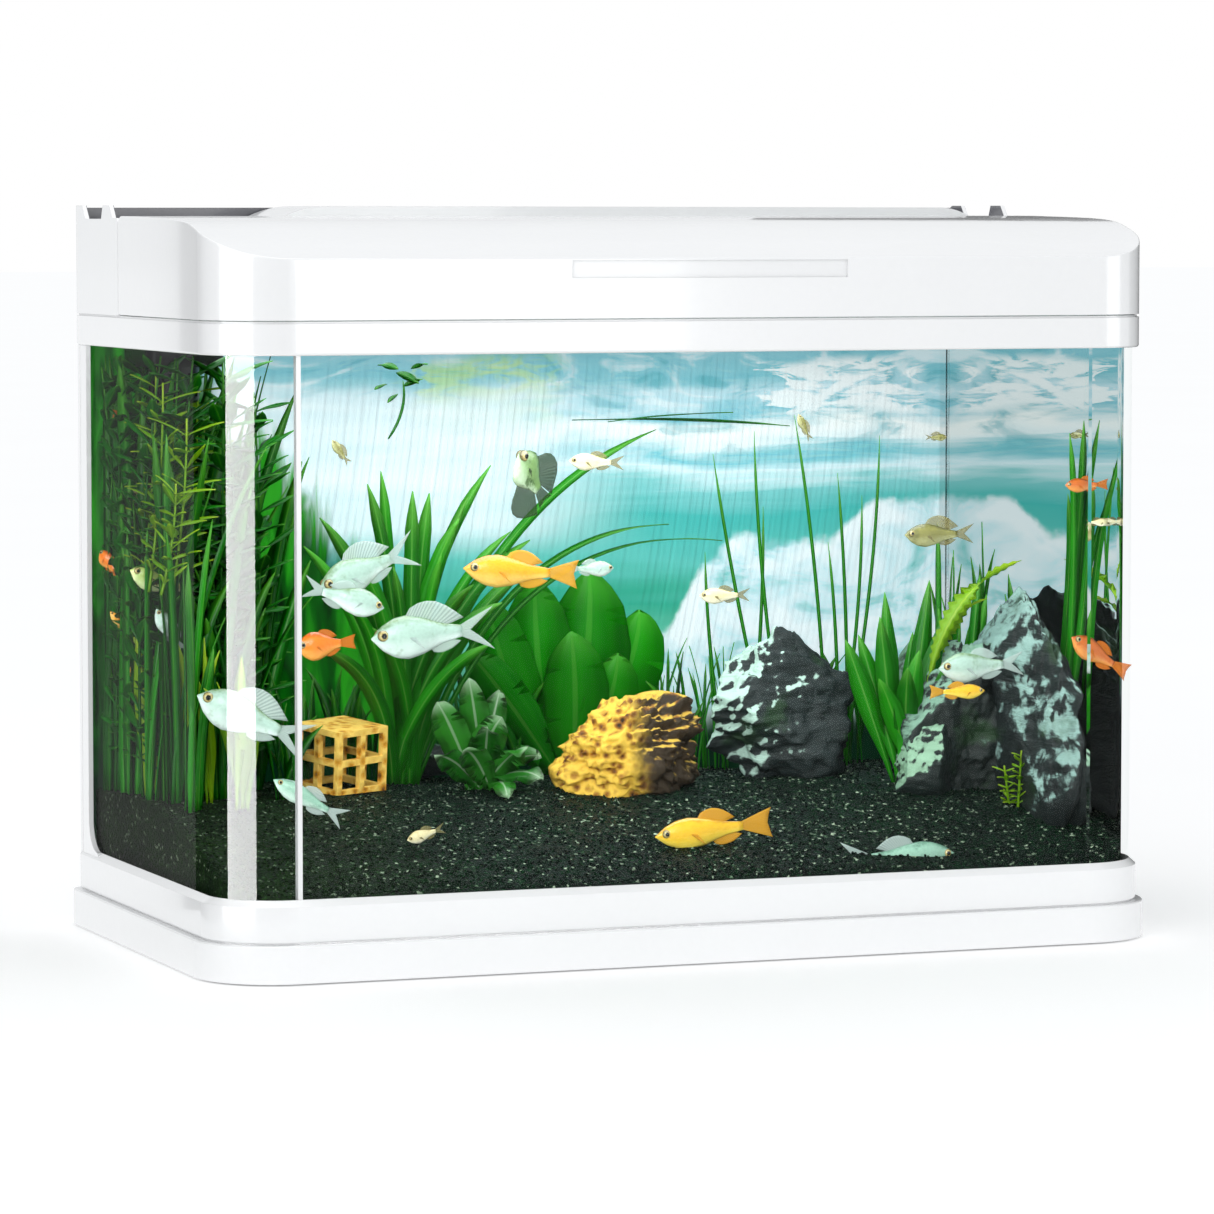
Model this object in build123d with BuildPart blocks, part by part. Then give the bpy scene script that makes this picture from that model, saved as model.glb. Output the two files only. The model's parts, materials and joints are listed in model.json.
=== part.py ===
from build123d import *
import math
import os

os.makedirs("parts", exist_ok=True)

# A curved-front aquarium on a low stand, with a flip-up hood. Millimetres.
# Origin: centre of the footprint on the floor. +X right, +Y back, +Z up; the front faces -Y.

# ---------------------------------------------------------------- driving dimensions
width = 500.0                     # frames and hood, left to right
depth = 260.0                     # frames and hood, front to back
corner_r = 37.7                   # front corners, seen from above
rear_corner_r = 5.0
half_w = width / 2
front_y = -depth / 2
rear_y = depth / 2

plinth_proud = 3.6                # the stand sticks out this far past the frames
foot_gap = 1.0                    # the foot pads hold the stand this far off the floor
plinth_top = 19.6
trim_top = 37.8                   # outer top edge of the bottom frame
glass_line = 41.0                 # where the frame's sloped top edge meets the glass
band_bottom = 303.3
band_top = 319.7
hood_gap = 0.5                    # running gap under the flip lid
groove_h = 1.0                    # shadow groove between stand, frames and hood
groove_d = 1.2

glass_inset = 3.5                 # outer glass face, in from the frames
glass_t = 4.0
floor_glass_t = 5.0
glass_bottom = 22.6
glass_top = 313.0
glass_floor_top = glass_bottom + floor_glass_t

wall = 2.5                        # moulded walls of the hood
seam_y = front_y + 177.3          # plane between the flip lid and the rear housing
crease_z = 349.8                  # front top edge of the lid
lid_top = 370.0
hood_top = 375.4
lid_bottom = band_top + hood_gap
lid_round = 5.0                   # rounded rear top edge of the lid, concentric with the hinge
hinge_y = seam_y - lid_round
hinge_z = lid_top - lid_round
touch = 0.3                       # clearance between parts of different bodies


# ---------------------------------------------------------------- shared outlines
def footprint(inset=0.0):
    """Seen from above: a rectangle with two large front corners and two small rear ones."""
    x = half_w - inset
    y0 = front_y + inset
    y1 = rear_y - inset
    big = corner_r - inset
    small = max(rear_corner_r - inset, 0.5)
    with BuildSketch(mode=Mode.PRIVATE) as outline:
        with BuildLine():
            Line((-x + big, y0), (x - big, y0))
            RadiusArc((x - big, y0), (x, y0 + big), -big)
            Line((x, y0 + big), (x, y1 - small))
            RadiusArc((x, y1 - small), (x - small, y1), -small)
            Line((x - small, y1), (-x + small, y1))
            RadiusArc((-x + small, y1), (-x, y1 - small), -small)
            Line((-x, y1 - small), (-x, y0 + big))
            RadiusArc((-x, y0 + big), (-x + big, y0), -big)
        make_face()
    return outline.sketch


def slab(inset, z0, z1):
    """A plate with the shared footprint, between two heights."""
    return Pos(0, 0, z0) * extrude(footprint(inset), z1 - z0, mode=Mode.PRIVATE)


def block(x0, x1, y0, y1, z0, z1):
    """A plain block between two corners, for cutting with."""
    size = Box(x1 - x0, y1 - y0, z1 - z0, mode=Mode.PRIVATE)
    return Pos((x0 + x1) / 2, (y0 + y1) / 2, (z0 + z1) / 2) * size


def save(part, name):
    part.label = name
    export_step(part, f"parts/{name}.step")


# ---------------------------------------------------------------- stand
skirt_t = 3.0
deck_t = 3.0
rib_t = 2.4
base_t = 3.0
base_gap = 0.3
rib_bottom = foot_gap + base_t
foot_r = 10.0
foot_h = 4.0
foot_places = [(x, y) for x in (-200, 0, 200) for y in (-95, 95)]
base_screw_places = [(x, y) for x in (-232, -104, 104, 232) for y in (-86, 110)]
base_screw_r = 1.5
base_head_r = 3.2
base_head_t = 1.6
deck_under = plinth_top - deck_t
cavity_inset = skirt_t - plinth_proud

with BuildPart() as stand_plinth:
    add(slab(-plinth_proud, foot_gap, plinth_top))
    chamfer(stand_plinth.edges().filter_by(Plane.XY).group_by(Axis.Z)[-1], 0.6)
    add(slab(cavity_inset, foot_gap - 1, deck_under), mode=Mode.SUBTRACT)
    for i in range(-5, 6):
        x = i * width / 12
        add(block(x - rib_t / 2, x + rib_t / 2, front_y + 1, rear_y - 1, rib_bottom, deck_under + 0.5))
    for j in range(-2, 3):
        y = j * depth / 6
        add(block(-half_w + 1, half_w - 1, y - rib_t / 2, y + rib_t / 2, rib_bottom, deck_under + 0.5))
    with BuildSketch(Plane.XY.offset(foot_h)):
        with Locations(*foot_places):
            Circle(foot_r + 3)
        with Locations(*base_screw_places):
            Circle(5)
    extrude(amount=deck_under - foot_h)
    with BuildSketch(Plane.XY.offset(foot_h)):
        with Locations(*base_screw_places):
            Circle(base_screw_r)
    extrude(amount=9, mode=Mode.SUBTRACT)
save(stand_plinth.part, "stand_plinth")

with BuildPart() as base_plate:
    add(slab(cavity_inset + base_gap, foot_gap, foot_gap + base_t))
    with Locations(Plane.XY.offset(foot_gap)):
        with Locations(*foot_places):
            Hole(foot_r + base_gap)
        with Locations(*base_screw_places):
            Hole(base_screw_r + 0.2)
    with BuildSketch(Plane.XY.offset(foot_gap)):
        with Locations(*base_screw_places):
            Circle(base_head_r + 0.2)
    extrude(amount=base_head_t, mode=Mode.SUBTRACT)
save(base_plate.part, "base_plate")

with BuildPart() as base_screws:
    with BuildSketch(Plane.XY.offset(foot_gap + 0.1)):
        with Locations(*base_screw_places):
            Circle(base_head_r)
            Rectangle(4.4, 0.8, mode=Mode.SUBTRACT)
    extrude(amount=base_head_t - 0.1)
    with BuildSketch(Plane.XY.offset(foot_gap + base_head_t)):
        with Locations(*base_screw_places):
            Circle(base_screw_r)
    extrude(amount=10)
save(base_screws.part, "base_screws")

with BuildPart() as foot_pads:
    with BuildSketch(Plane.XY):
        with Locations(*foot_places):
            Circle(foot_r)
    extrude(amount=foot_h)
    chamfer(foot_pads.edges().filter_by(GeomType.CIRCLE).group_by(Axis.Z)[0], 0.6)
save(foot_pads.part, "foot_pads")

# ---------------------------------------------------------------- bottom frame and mat
ledge_in = 14.0                   # how far in the frame's ledge reaches under the glass

with BuildPart() as bottom_frame:
    add(slab(0, plinth_top, glass_line))
    # sloped top edge: a wedge taken off all round above the outer top edge
    slope_ends = [Pos(0, 0, trim_top) * footprint(0), Pos(0, 0, glass_line) * footprint(glass_inset)]
    slope = loft(slope_ends, mode=Mode.PRIVATE)
    add(slab(-1, trim_top, glass_line + 1) - slope, mode=Mode.SUBTRACT)
    groove = slab(-1, plinth_top - 1, plinth_top + groove_h)
    groove -= slab(groove_d, plinth_top - 2, plinth_top + 2)
    add(groove, mode=Mode.SUBTRACT)
    add(slab(glass_inset, glass_bottom, glass_line + 1), mode=Mode.SUBTRACT)
    add(slab(ledge_in, plinth_top - 1, glass_bottom + 1), mode=Mode.SUBTRACT)
save(bottom_frame.part, "bottom_frame")

with BuildPart() as levelling_mat:
    add(slab(ledge_in + 0.5, plinth_top, glass_bottom))
save(levelling_mat.part, "levelling_mat")

# ---------------------------------------------------------------- glass
seam_x0 = 208.9                   # slim joint strip between the flat pane and each bent pane
seam_x1 = 211.3
glass_in = glass_inset + glass_t
rear_glass_front = rear_y - glass_in
rear_bead = 0.5

glass_ring = slab(glass_inset, glass_bottom, glass_top)
glass_ring -= slab(glass_in, glass_bottom - 1, glass_top + 1)
glass_span = (glass_bottom - 1, glass_top + 1)

with BuildPart() as front_glass:
    add(glass_ring)
    add(block(-seam_x0, seam_x0, front_y, 0, *glass_span), mode=Mode.INTERSECT)
save(front_glass.part, "front_glass")

with BuildPart() as front_seam_left:
    add(glass_ring)
    add(block(-seam_x1, -seam_x0, front_y, 0, *glass_span), mode=Mode.INTERSECT)
save(front_seam_left.part, "front_seam_left")

with BuildPart() as front_seam_right:
    add(glass_ring)
    add(block(seam_x0, seam_x1, front_y, 0, *glass_span), mode=Mode.INTERSECT)
save(front_seam_right.part, "front_seam_right")

side_end_y = rear_glass_front - rear_bead
with BuildPart() as left_side_glass:
    add(glass_ring)
    add(block(-half_w, -seam_x1, front_y, side_end_y, *glass_span), mode=Mode.INTERSECT)
save(left_side_glass.part, "left_side_glass")

with BuildPart() as right_side_glass:
    add(glass_ring)
    add(block(seam_x1, half_w, front_y, side_end_y, *glass_span), mode=Mode.INTERSECT)
save(right_side_glass.part, "right_side_glass")

glass_half = half_w - glass_inset
with BuildPart() as rear_glass:
    add(block(-glass_half, glass_half, rear_glass_front, rear_y - glass_inset, glass_bottom, glass_top))
    add(slab(glass_inset, glass_bottom, glass_top), mode=Mode.INTERSECT)
save(rear_glass.part, "rear_glass")

floor_gap = 0.5
with BuildPart() as floor_glass:
    add(slab(glass_in + floor_gap, glass_bottom, glass_floor_top))
save(floor_glass.part, "floor_glass")

# silicone: a low fillet round the floor, and one bead in each rear corner
bead = 3.0
with BuildPart() as floor_seal:
    add(slab(glass_in, glass_floor_top, glass_floor_top + bead))
    inner_low = Pos(0, 0, glass_floor_top) * footprint(glass_in + bead)
    inner_high = Pos(0, 0, glass_floor_top + bead) * footprint(glass_in + 0.3)
    add(loft([inner_low, inner_high], mode=Mode.PRIVATE), mode=Mode.SUBTRACT)
save(floor_seal.part, "floor_seal")

seal_z0 = glass_floor_top + bead + 0.5
with BuildPart() as rear_seals:
    for side in (-1, 1):
        inner_x = side * (half_w - glass_in)
        corner = (inner_x, rear_glass_front)
        with BuildSketch(Plane.XY.offset(seal_z0)):
            with BuildLine():
                Polyline(corner, (inner_x - side * bead, corner[1]), (inner_x, corner[1] - bead), close=True)
            make_face()
        extrude(amount=band_bottom - seal_z0)
        outer_x = side * glass_half
        x0, x1 = sorted((inner_x, outer_x))
        add(block(x0, x1, side_end_y, rear_glass_front, seal_z0, band_bottom))
save(rear_seals.part, "rear_seals")

# ---------------------------------------------------------------- rear corner posts
post_front_y = 112.0
post_proud = 2.5                  # thickness outside the side glass
post_back_x = 237.0               # the post wraps round the back as far as this
post_foot_r = 16.0                # rounded foot where the post meets the bottom frame
post_groove_y = 123.0
post_groove = 0.7
post_x = glass_half + post_proud
film_t = 0.4                      # printed background, held between the rear glass and the posts
film_gap = 0.6
film_edge = 1.6                   # how far the film stops short of the rear glass's ends


def rear_post(side, name):
    foot = post_foot_r
    with BuildPart() as post:
        # side leaf with its concave foot, drawn in the side view
        with BuildSketch(Plane.YZ.offset(side * glass_half)):
            with BuildLine():
                Line((rear_y, trim_top), (rear_y, band_bottom))
                Line((rear_y, band_bottom), (post_front_y, band_bottom))
                Line((post_front_y, band_bottom), (post_front_y, glass_line + foot))
                RadiusArc((post_front_y, glass_line + foot), (post_front_y - foot, glass_line), foot)
                Line((post_front_y - foot, glass_line), (post_front_y - foot, trim_top))
                Line((post_front_y - foot, trim_top), (rear_y, trim_top))
            make_face()
        extrude(amount=side * post_proud)
        x0, x1 = sorted((side * post_back_x, side * post_x))
        back_face = rear_y - glass_inset + film_t + touch
        add(block(x0, x1, back_face, rear_y, trim_top, band_bottom))
        outer_corner = post.edges().filter_by(Axis.Z).sort_by(Axis.Y).group_by(Axis.Y)[-1]
        fillet(outer_corner.sort_by(Axis.X)[-1 if side > 0 else 0], 2.4)
        gx0, gx1 = sorted((side * (post_x - post_groove), side * (post_x + 1)))
        groove_box = block(gx0, gx1, post_groove_y, post_groove_y + post_groove, trim_top, band_bottom)
        add(groove_box, mode=Mode.SUBTRACT)
        add(bottom_frame.part, mode=Mode.SUBTRACT)
    save(post.part, name)
    return post.part


rear_post(-1, "rear_post_left")
rear_post(1, "rear_post_right")

# ---------------------------------------------------------------- top frame and background
band_ledge_in = 16.0
with BuildPart() as top_frame:
    add(slab(0, band_bottom, band_top))
    fillet(top_frame.edges().filter_by(Plane.XY).group_by(Axis.Z)[0], 1.4)
    add(slab(glass_inset, band_bottom - 1, glass_top), mode=Mode.SUBTRACT)
    add(slab(band_ledge_in, band_bottom - 1, band_top + 1), mode=Mode.SUBTRACT)
    groove = slab(-1, band_top - groove_h, band_top + 1)
    groove -= slab(groove_d, band_top - 2, band_top + 2)
    add(groove, mode=Mode.SUBTRACT)
save(top_frame.part, "top_frame")

with BuildPart() as background_film:
    film_x = glass_half - film_edge
    film_y = rear_y - glass_inset
    add(block(-film_x, film_x, film_y, film_y + film_t, glass_line + film_gap, band_bottom - film_gap))
save(background_film.part, "background_film")

# ---------------------------------------------------------------- gravel and stones
gravel_gap = 0.3                  # off the glass
gravel_front_z = 41.5
gravel_back_z = 71.0
gravel_slope = [(-80, 55.0), (-30, 67.0), (20, 73.5), (60, 74.0)]   # (depth, height) of its top
gravel_front_y = front_y + glass_in
gravel_back_y = rear_y - glass_in

with BuildPart() as gravel_bed:
    with BuildSketch(Plane.YZ.offset(-half_w)):
        with BuildLine():
            Line((gravel_back_y, gravel_back_z), (gravel_back_y, glass_floor_top))
            Line((gravel_back_y, glass_floor_top), (gravel_front_y, glass_floor_top))
            Line((gravel_front_y, glass_floor_top), (gravel_front_y, gravel_front_z))
            Spline(
                (gravel_front_y, gravel_front_z),
                *gravel_slope,
                (gravel_back_y, gravel_back_z),
                tangents=((1, 0.3), (1, -0.05)),
            )
        make_face()
    extrude(amount=width)
    add(slab(glass_in + gravel_gap, glass_floor_top, band_bottom), mode=Mode.INTERSECT)
    # clear of the silicone fillet round the floor
    add(slab(0, glass_floor_top - 1, glass_floor_top + bead + touch)
        - slab(glass_in + bead + touch, glass_floor_top - 2, glass_floor_top + bead + 1),
        mode=Mode.SUBTRACT)
    add(rear_seals.part, mode=Mode.SUBTRACT)
save(gravel_bed.part, "gravel_bed")


def stone(name, base, top, tilt_top=(0, 0)):
    """A lofted boulder: an irregular base outline and a smaller top one, cut off at the gravel.

    base and top are (centre x, centre y, half length, half depth, height)."""
    outlines = []
    for cx, cy, rx, ry, z in (base, top):
        points = []
        for k in range(8):
            turn = k * math.pi / 4 + 0.25
            bump = 1 + 0.12 * math.sin(3 * turn + cx)
            points.append((cx + rx * bump * math.cos(turn), cy + ry * bump * math.sin(turn)))
        with BuildSketch(Plane.XY.offset(z), mode=Mode.PRIVATE) as outline:
            with BuildLine():
                Polyline(*points, close=True)
            make_face()
        outlines.append(outline.sketch)
    with BuildPart() as body:
        add(loft(outlines, ruled=True, mode=Mode.PRIVATE))
        add(gravel_bed.part, mode=Mode.SUBTRACT)
    biggest = body.part.solids().sort_by(SortBy.VOLUME)[-1]
    with BuildPart() as finished:
        add(biggest)
    save(finished.part, name)
    return finished.part


stone("rock_centre", (116, 44, 54, 34, 55), (126, 50, 28, 14, 152))
stone("rock_left", (-68, 99, 24, 18, 60), (-70, 99, 15, 10, 96))
stone("rock_right_back", (222, -14, 16, 68, 40), (223, -6, 12, 50, 164))
stone("rock_right_front", (179, -8, 24, 20, 50), (181, -6, 20, 13, 114))
stone("crumbly_stone", (15, 14, 32, 18, 60), (17, 16, 25, 12, 114))

# shelter cube: four corner sticks, a cross of slats in each face, a lid and no floor
cube_c = (-133.0, 48.0)
cube_z = 71.5
cube_s = 34.0
cube_h = 34.0
cube_stick = 3.2
cube_turn = 24.0
cube_lean = 6.0
cube_lift = 3.5


def window_cuts(half):
    """Window openings, two by two, right through the cube along X and along Y."""
    cell = (cube_s - 3 * cube_stick) / 2
    row_h = (cube_h - 3 * cube_stick) / 2
    cuts = []
    for i in (-1, 1):
        for j in (0, 1):
            mid = i * (cell + cube_stick) / 2
            z_low = cube_stick + j * (row_h + cube_stick)
            cuts.append(block(mid - cell / 2, mid + cell / 2, -half, half, z_low, z_low + row_h))
            cuts.append(block(-half, half, mid - cell / 2, mid + cell / 2, z_low, z_low + row_h))
    return cuts


with BuildPart() as cube_upright:
    hs = cube_s / 2
    add(block(-hs, hs, -hs, hs, 0, cube_h))
    add(block(-hs + cube_stick, hs - cube_stick, -hs + cube_stick, hs - cube_stick,
              -1, cube_h - cube_stick), mode=Mode.SUBTRACT)
    for cut in window_cuts(hs + 1):
        add(cut, mode=Mode.SUBTRACT)
cube_place = Pos(cube_c[0], cube_c[1], cube_z + cube_lift) * Rot(cube_lean, 0, 0) * Rot(0, 0, cube_turn)
with BuildPart() as shelter_cube:
    add(cube_place * cube_upright.part)
    add(gravel_bed.part, mode=Mode.SUBTRACT)
save(shelter_cube.part, "shelter_cube")

# ---------------------------------------------------------------- flip lid
lid_profile = [                   # (distance from the front face, height) of the lid's top
    (0.0, crease_z),
    (6.0, 351.8),
    (15.0, 355.3),
    (26.0, 359.3),
    (38.0, 363.0),
    (51.0, 366.3),
    (70.0, 368.3),
    (100.0, 369.2),
    (137.0, 369.7),
]


def lid_body(inset, z0, drop, rear_y_end):
    """The lid's outer form, or its hollow when inset and drop are the wall thickness."""
    top = [(front_y + inset + d, z - drop) for d, z in lid_profile]
    end_z = lid_top - drop
    with BuildSketch(Plane.YZ.offset(-half_w - 1), mode=Mode.PRIVATE) as side:
        with BuildLine():
            Spline(*top, (rear_y_end - lid_round, end_z), tangents=((1, 0.33), (1, 0)))
            RadiusArc((rear_y_end - lid_round, end_z), (rear_y_end, end_z - lid_round), lid_round)
            Line((rear_y_end, end_z - lid_round), (rear_y_end, z0))
            Line((rear_y_end, z0), (front_y + inset, z0))
            Line((front_y + inset, z0), top[0])
        make_face()
    form = extrude(side.sketch, width + 2, mode=Mode.PRIVATE)
    return form & slab(inset, z0, lid_top + 1)


ear_x0 = 240.0                    # the housing's hinge ears, one near each end
ear_x1 = 245.0
ear_r = 3.7
lug_x0 = 235.0                    # the lid's own inner lugs
lug_x1 = ear_x0 - touch
pin_r = 1.5
pin_end = 249.0
pin_clearance = 0.05
skin_r = 4.1                      # hollow round each ear, leaving a thin skin
recess_x = (-71.0, 75.0)          # finger recess in the front face
recess_z = (340.0, 348.5)
recess_d = 1.8
boss_places = [(x, y) for x in (-196, 196) for y in (-62, -28)]
boss_r = 4.0
light_flange_z = 358.0            # underside of the lid's bosses
edge_round = 0.8                  # softened top edges of the lid
lug_r = 3.6
relief = 3.0                      # cut back at the lower rear corners, to clear the frame while turning


def along_x(x0, x1, radius, y=hinge_y, z=hinge_z):
    """A round bar along X."""
    bar = Cylinder(radius, x1 - x0, rotation=(0, 90, 0), mode=Mode.PRIVATE)
    return Pos((x0 + x1) / 2, y, z) * bar


def both_sides(maker, x0, x1, *args):
    return [maker(x0, x1, *args), maker(-x1, -x0, *args)]


lid_outer = lid_body(0, lid_bottom, 0, seam_y)
top_edges = [e for e in lid_outer.edges()
             if e.center().Z > crease_z - 1 and e.center().Y < seam_y - lid_round - 1]
lid_outer = lid_outer.fillet(edge_round, top_edges)
with BuildPart() as lid_shell:
    add(lid_outer)
    add(lid_body(wall, lid_bottom - 1, wall, seam_y - 0.9), mode=Mode.SUBTRACT)
    # open behind, under the rounded rear edge
    add(block(-half_w + wall, half_w - wall, seam_y - 6, seam_y + 1, lid_bottom - 1, hinge_z),
        mode=Mode.SUBTRACT)
    for lug in both_sides(along_x, lug_x0, lug_x1, lug_r):
        add(lug & lid_outer)
    for x0, x1 in ((lug_x0, lug_x1), (-lug_x1, -lug_x0)):
        add(block(x0, x1, hinge_y - lug_r, hinge_y + lug_r, hinge_z, lid_top - 1))
    for hollow in both_sides(along_x, ear_x0 - touch, half_w - wall, skin_r):
        add(hollow, mode=Mode.SUBTRACT)
    for bore in both_sides(along_x, lug_x0 - 1, pin_end, pin_r):
        add(bore, mode=Mode.SUBTRACT)
    # screw bosses for the light
    for x, y in boss_places:
        boss = Cylinder(boss_r, 20, align=(Align.CENTER, Align.CENTER, Align.MIN), mode=Mode.PRIVATE)
        add((Pos(x, y, light_flange_z) * boss) & lid_outer)
        pilot = Cylinder(pin_r, 6, align=(Align.CENTER, Align.CENTER, Align.MIN), mode=Mode.PRIVATE)
        add(Pos(x, y, light_flange_z) * pilot, mode=Mode.SUBTRACT)
    recess = block(*recess_x, front_y - 1, front_y + recess_d, *recess_z)
    add(recess, mode=Mode.SUBTRACT)
    for x0 in (-half_w - 1, half_w - wall - 1):
        add(block(x0, x0 + wall + 2, seam_y - relief, seam_y + 1, lid_bottom - 1, lid_bottom + 0.3),
            mode=Mode.SUBTRACT)
save(lid_shell.part, "lid_shell")

with BuildPart() as hinge_pins:
    for pin in both_sides(along_x, lug_x0, pin_end, pin_r):
        add(pin)
save(hinge_pins.part, "hinge_pins")

# ---------------------------------------------------------------- light under the lid
light_x = 188.0
light_y = (-75.0, -15.0)
light_z = (346.0, 358.0)
light_wall = 2.0
flange_t = 2.5
lens_t = 2.5
board_z = 354.2
board_t = 1.6
chip_t = 1.4
screw_r = pin_r
light_mid = sum(light_y) / 2

with BuildPart() as light_housing:
    add(block(-light_x, light_x, *light_y, *light_z))
    fillet(light_housing.edges().filter_by(Axis.Z), 5)
    add(block(-light_x + light_wall, light_x - light_wall, light_y[0] + light_wall,
              light_y[1] - light_wall, light_z[0] - 1, light_z[1] - light_wall), mode=Mode.SUBTRACT)
    for side in (-1, 1):
        x0, x1 = sorted((side * (light_x - 1), side * (light_x + 15)))
        add(block(x0, x1, light_y[0] + 5, light_y[1] - 5, light_z[1] - flange_t, light_z[1]))
    for x, y in boss_places:
        hole = Cylinder(screw_r + 0.2, 10, mode=Mode.PRIVATE)
        add(Pos(x, y, light_z[1]) * hole, mode=Mode.SUBTRACT)
save(light_housing.part, "light_housing")

inner_x = light_x - light_wall
inner_y0 = light_y[0] + light_wall
inner_y1 = light_y[1] - light_wall
with BuildPart() as led_board:
    add(block(-inner_x + 1, inner_x - 1, inner_y0 + 1, inner_y1 - 1, board_z, light_z[1] - light_wall))
save(led_board.part, "led_board")

with BuildPart() as led_chips:
    with BuildSketch(Plane.XY.offset(board_z - chip_t)):
        with Locations((0, light_mid)):
            with GridLocations(18.0, 16.0, 20, 3):
                Rectangle(5, 5)
    extrude(amount=chip_t)
save(led_chips.part, "led_chips")

with BuildPart() as light_lens:
    add(block(-inner_x, inner_x, inner_y0, inner_y1, light_z[0], light_z[0] + lens_t))
save(light_lens.part, "light_lens")

with BuildPart() as light_screws:
    for x, y in boss_places:
        shank = Cylinder(screw_r, 8, align=(Align.CENTER, Align.CENTER, Align.MIN), mode=Mode.PRIVATE)
        head = Cylinder(3.0, 2, align=(Align.CENTER, Align.CENTER, Align.MAX), mode=Mode.PRIVATE)
        slot = Box(5, 0.8, 2, mode=Mode.PRIVATE)
        under = light_z[1] - flange_t
        add(Pos(x, y, under) * shank)
        add(Pos(x, y, under) * head)
        add(Pos(x, y, under - 2) * slot, mode=Mode.SUBTRACT)
save(light_screws.part, "light_screws")

# ---------------------------------------------------------------- rear housing
rear_front_y = seam_y + touch
floor_z = 321.0
floor_t = 2.5
floor_top = floor_z + floor_t
front_wall_top = 350.0
side_low_z = 369.0                # side wall's top beside the lid
notch_z = 368.6
notch_top = (front_y + 205.0, front_y + 244.0)
notch_low = (front_y + 208.0, front_y + 238.0)
shelf_z = 347.5                   # inner shelves that carry the filter cover
shelf_x0 = -180.0
shelf_t = 3.0
shelf_in = 1.5                    # how far each shelf reaches under the cover
rim = 6.0                         # width of the housing's foot, all round
cover_y = (front_y + 190.0, 124.0)
lip_in = band_ledge_in + 0.5      # locating lip inside the top frame
lip_t = 2.0
lip_bottom = 314.0
riser_at = (-206.0, 96.0)
riser_r = 6.0
riser_bore = 4.0
knob_at = (-226.0, 74.0)
stem_r = 2.5
drain_x = (60.0, 205.0)
drain_y = (84.0, 112.0)
ear_neck = 0.2                    # the ear's neck stays just ahead of the axis


def housing_outline():
    """Side view of the housing's side walls: slope, cable notch and rounded rear corner."""
    y = front_y
    with BuildSketch(Plane.YZ.offset(-half_w - 1), mode=Mode.PRIVATE) as side:
        with BuildLine():
            Polyline(
                (rear_front_y, band_top), (rear_front_y, side_low_z - 2), (rear_front_y + 2, side_low_z),
                (y + 187.6, side_low_z), (y + 193.0, hood_top), (notch_top[0], hood_top),
                (notch_low[0], notch_z), (notch_low[1], notch_z), (notch_top[1], hood_top),
                (rear_y - 6, hood_top),
            )
            RadiusArc((rear_y - 6, hood_top), (rear_y, hood_top - 6), 6)
            Polyline((rear_y, hood_top - 6), (rear_y, band_top), (rear_front_y, band_top))
        make_face()
    return extrude(side.sketch, width + 2, mode=Mode.PRIVATE)


with BuildPart() as rear_housing:
    add(slab(0, band_top, hood_top + 1) & housing_outline())
    # trough: everything above the floor, between the walls
    add(block(-half_w + wall, half_w - wall, rear_front_y + wall, rear_y - wall, floor_top, hood_top + 1),
        mode=Mode.SUBTRACT)
    # the front wall is lower than the side walls
    add(block(-half_w + wall, half_w - wall, rear_front_y - 1, rear_front_y + wall + 1,
              front_wall_top, hood_top + 1), mode=Mode.SUBTRACT)
    add(block(-half_w + rim, half_w - rim, rear_front_y + rim, rear_y - rim, band_top - 1, floor_z),
        mode=Mode.SUBTRACT)
    # locating lip inside the top frame
    lip = slab(lip_in, lip_bottom, floor_z) - slab(lip_in + lip_t, lip_bottom - 1, floor_z + 1)
    add(lip & block(-half_w, half_w, rear_front_y + 4, rear_y, lip_bottom, floor_z))
    # shelves for the filter cover
    for y0, y1 in ((cover_y[0] - shelf_t, cover_y[0] + shelf_in), (cover_y[1] - shelf_in, rear_y - wall)):
        add(block(shelf_x0, half_w - wall, y0, y1, shelf_z - shelf_t, shelf_z))
    # drain slots back to the tank
    for k in range(8):
        x = drain_x[0] + k * (drain_x[1] - drain_x[0]) / 7
        add(block(x - 2.5, x + 2.5, *drain_y, band_top - 2, floor_top + 1), mode=Mode.SUBTRACT)
    # holes for the riser pipe and the flow knob's stem
    riser_hole = Cylinder(riser_r + 0.2, 20, mode=Mode.PRIVATE)
    add(Pos(*riser_at, floor_z) * riser_hole, mode=Mode.SUBTRACT)
    stem_hole = Cylinder(stem_r + pin_clearance, 20, mode=Mode.PRIVATE)
    add(Pos(*knob_at, floor_z) * stem_hole, mode=Mode.SUBTRACT)
    # gooseneck hinge ears
    for x0 in (ear_x0, -ear_x1):
        with BuildSketch(Plane.YZ.offset(x0)):
            with BuildLine():
                Polyline(
                    (hinge_y - ear_r, hinge_z), (hinge_y - ear_r, hinge_z - 14),
                    (rear_front_y + 1, hinge_z - 20), (rear_front_y + 1, hinge_z - 7),
                    (hinge_y + 1.5, hinge_z - 7), (hinge_y - ear_neck, hinge_z - 5.4),
                    (hinge_y - ear_neck, hinge_z), close=True,
                )
            make_face()
        extrude(amount=ear_x1 - ear_x0)
        add(along_x(x0, x0 + ear_x1 - ear_x0, ear_r))
        add(along_x(x0 - 1, x0 + ear_x1 - ear_x0 + 1, pin_r + pin_clearance), mode=Mode.SUBTRACT)
save(rear_housing.part, "rear_housing")

# ---------------------------------------------------------------- filter cover
cover_t = 2.5
arch_left = (-134.0, 375.1)       # where the flat top meets the left arc
arch_right = (211.0, 374.4)
arch_left_r = 55.0
arch_right_r = 33.0


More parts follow.
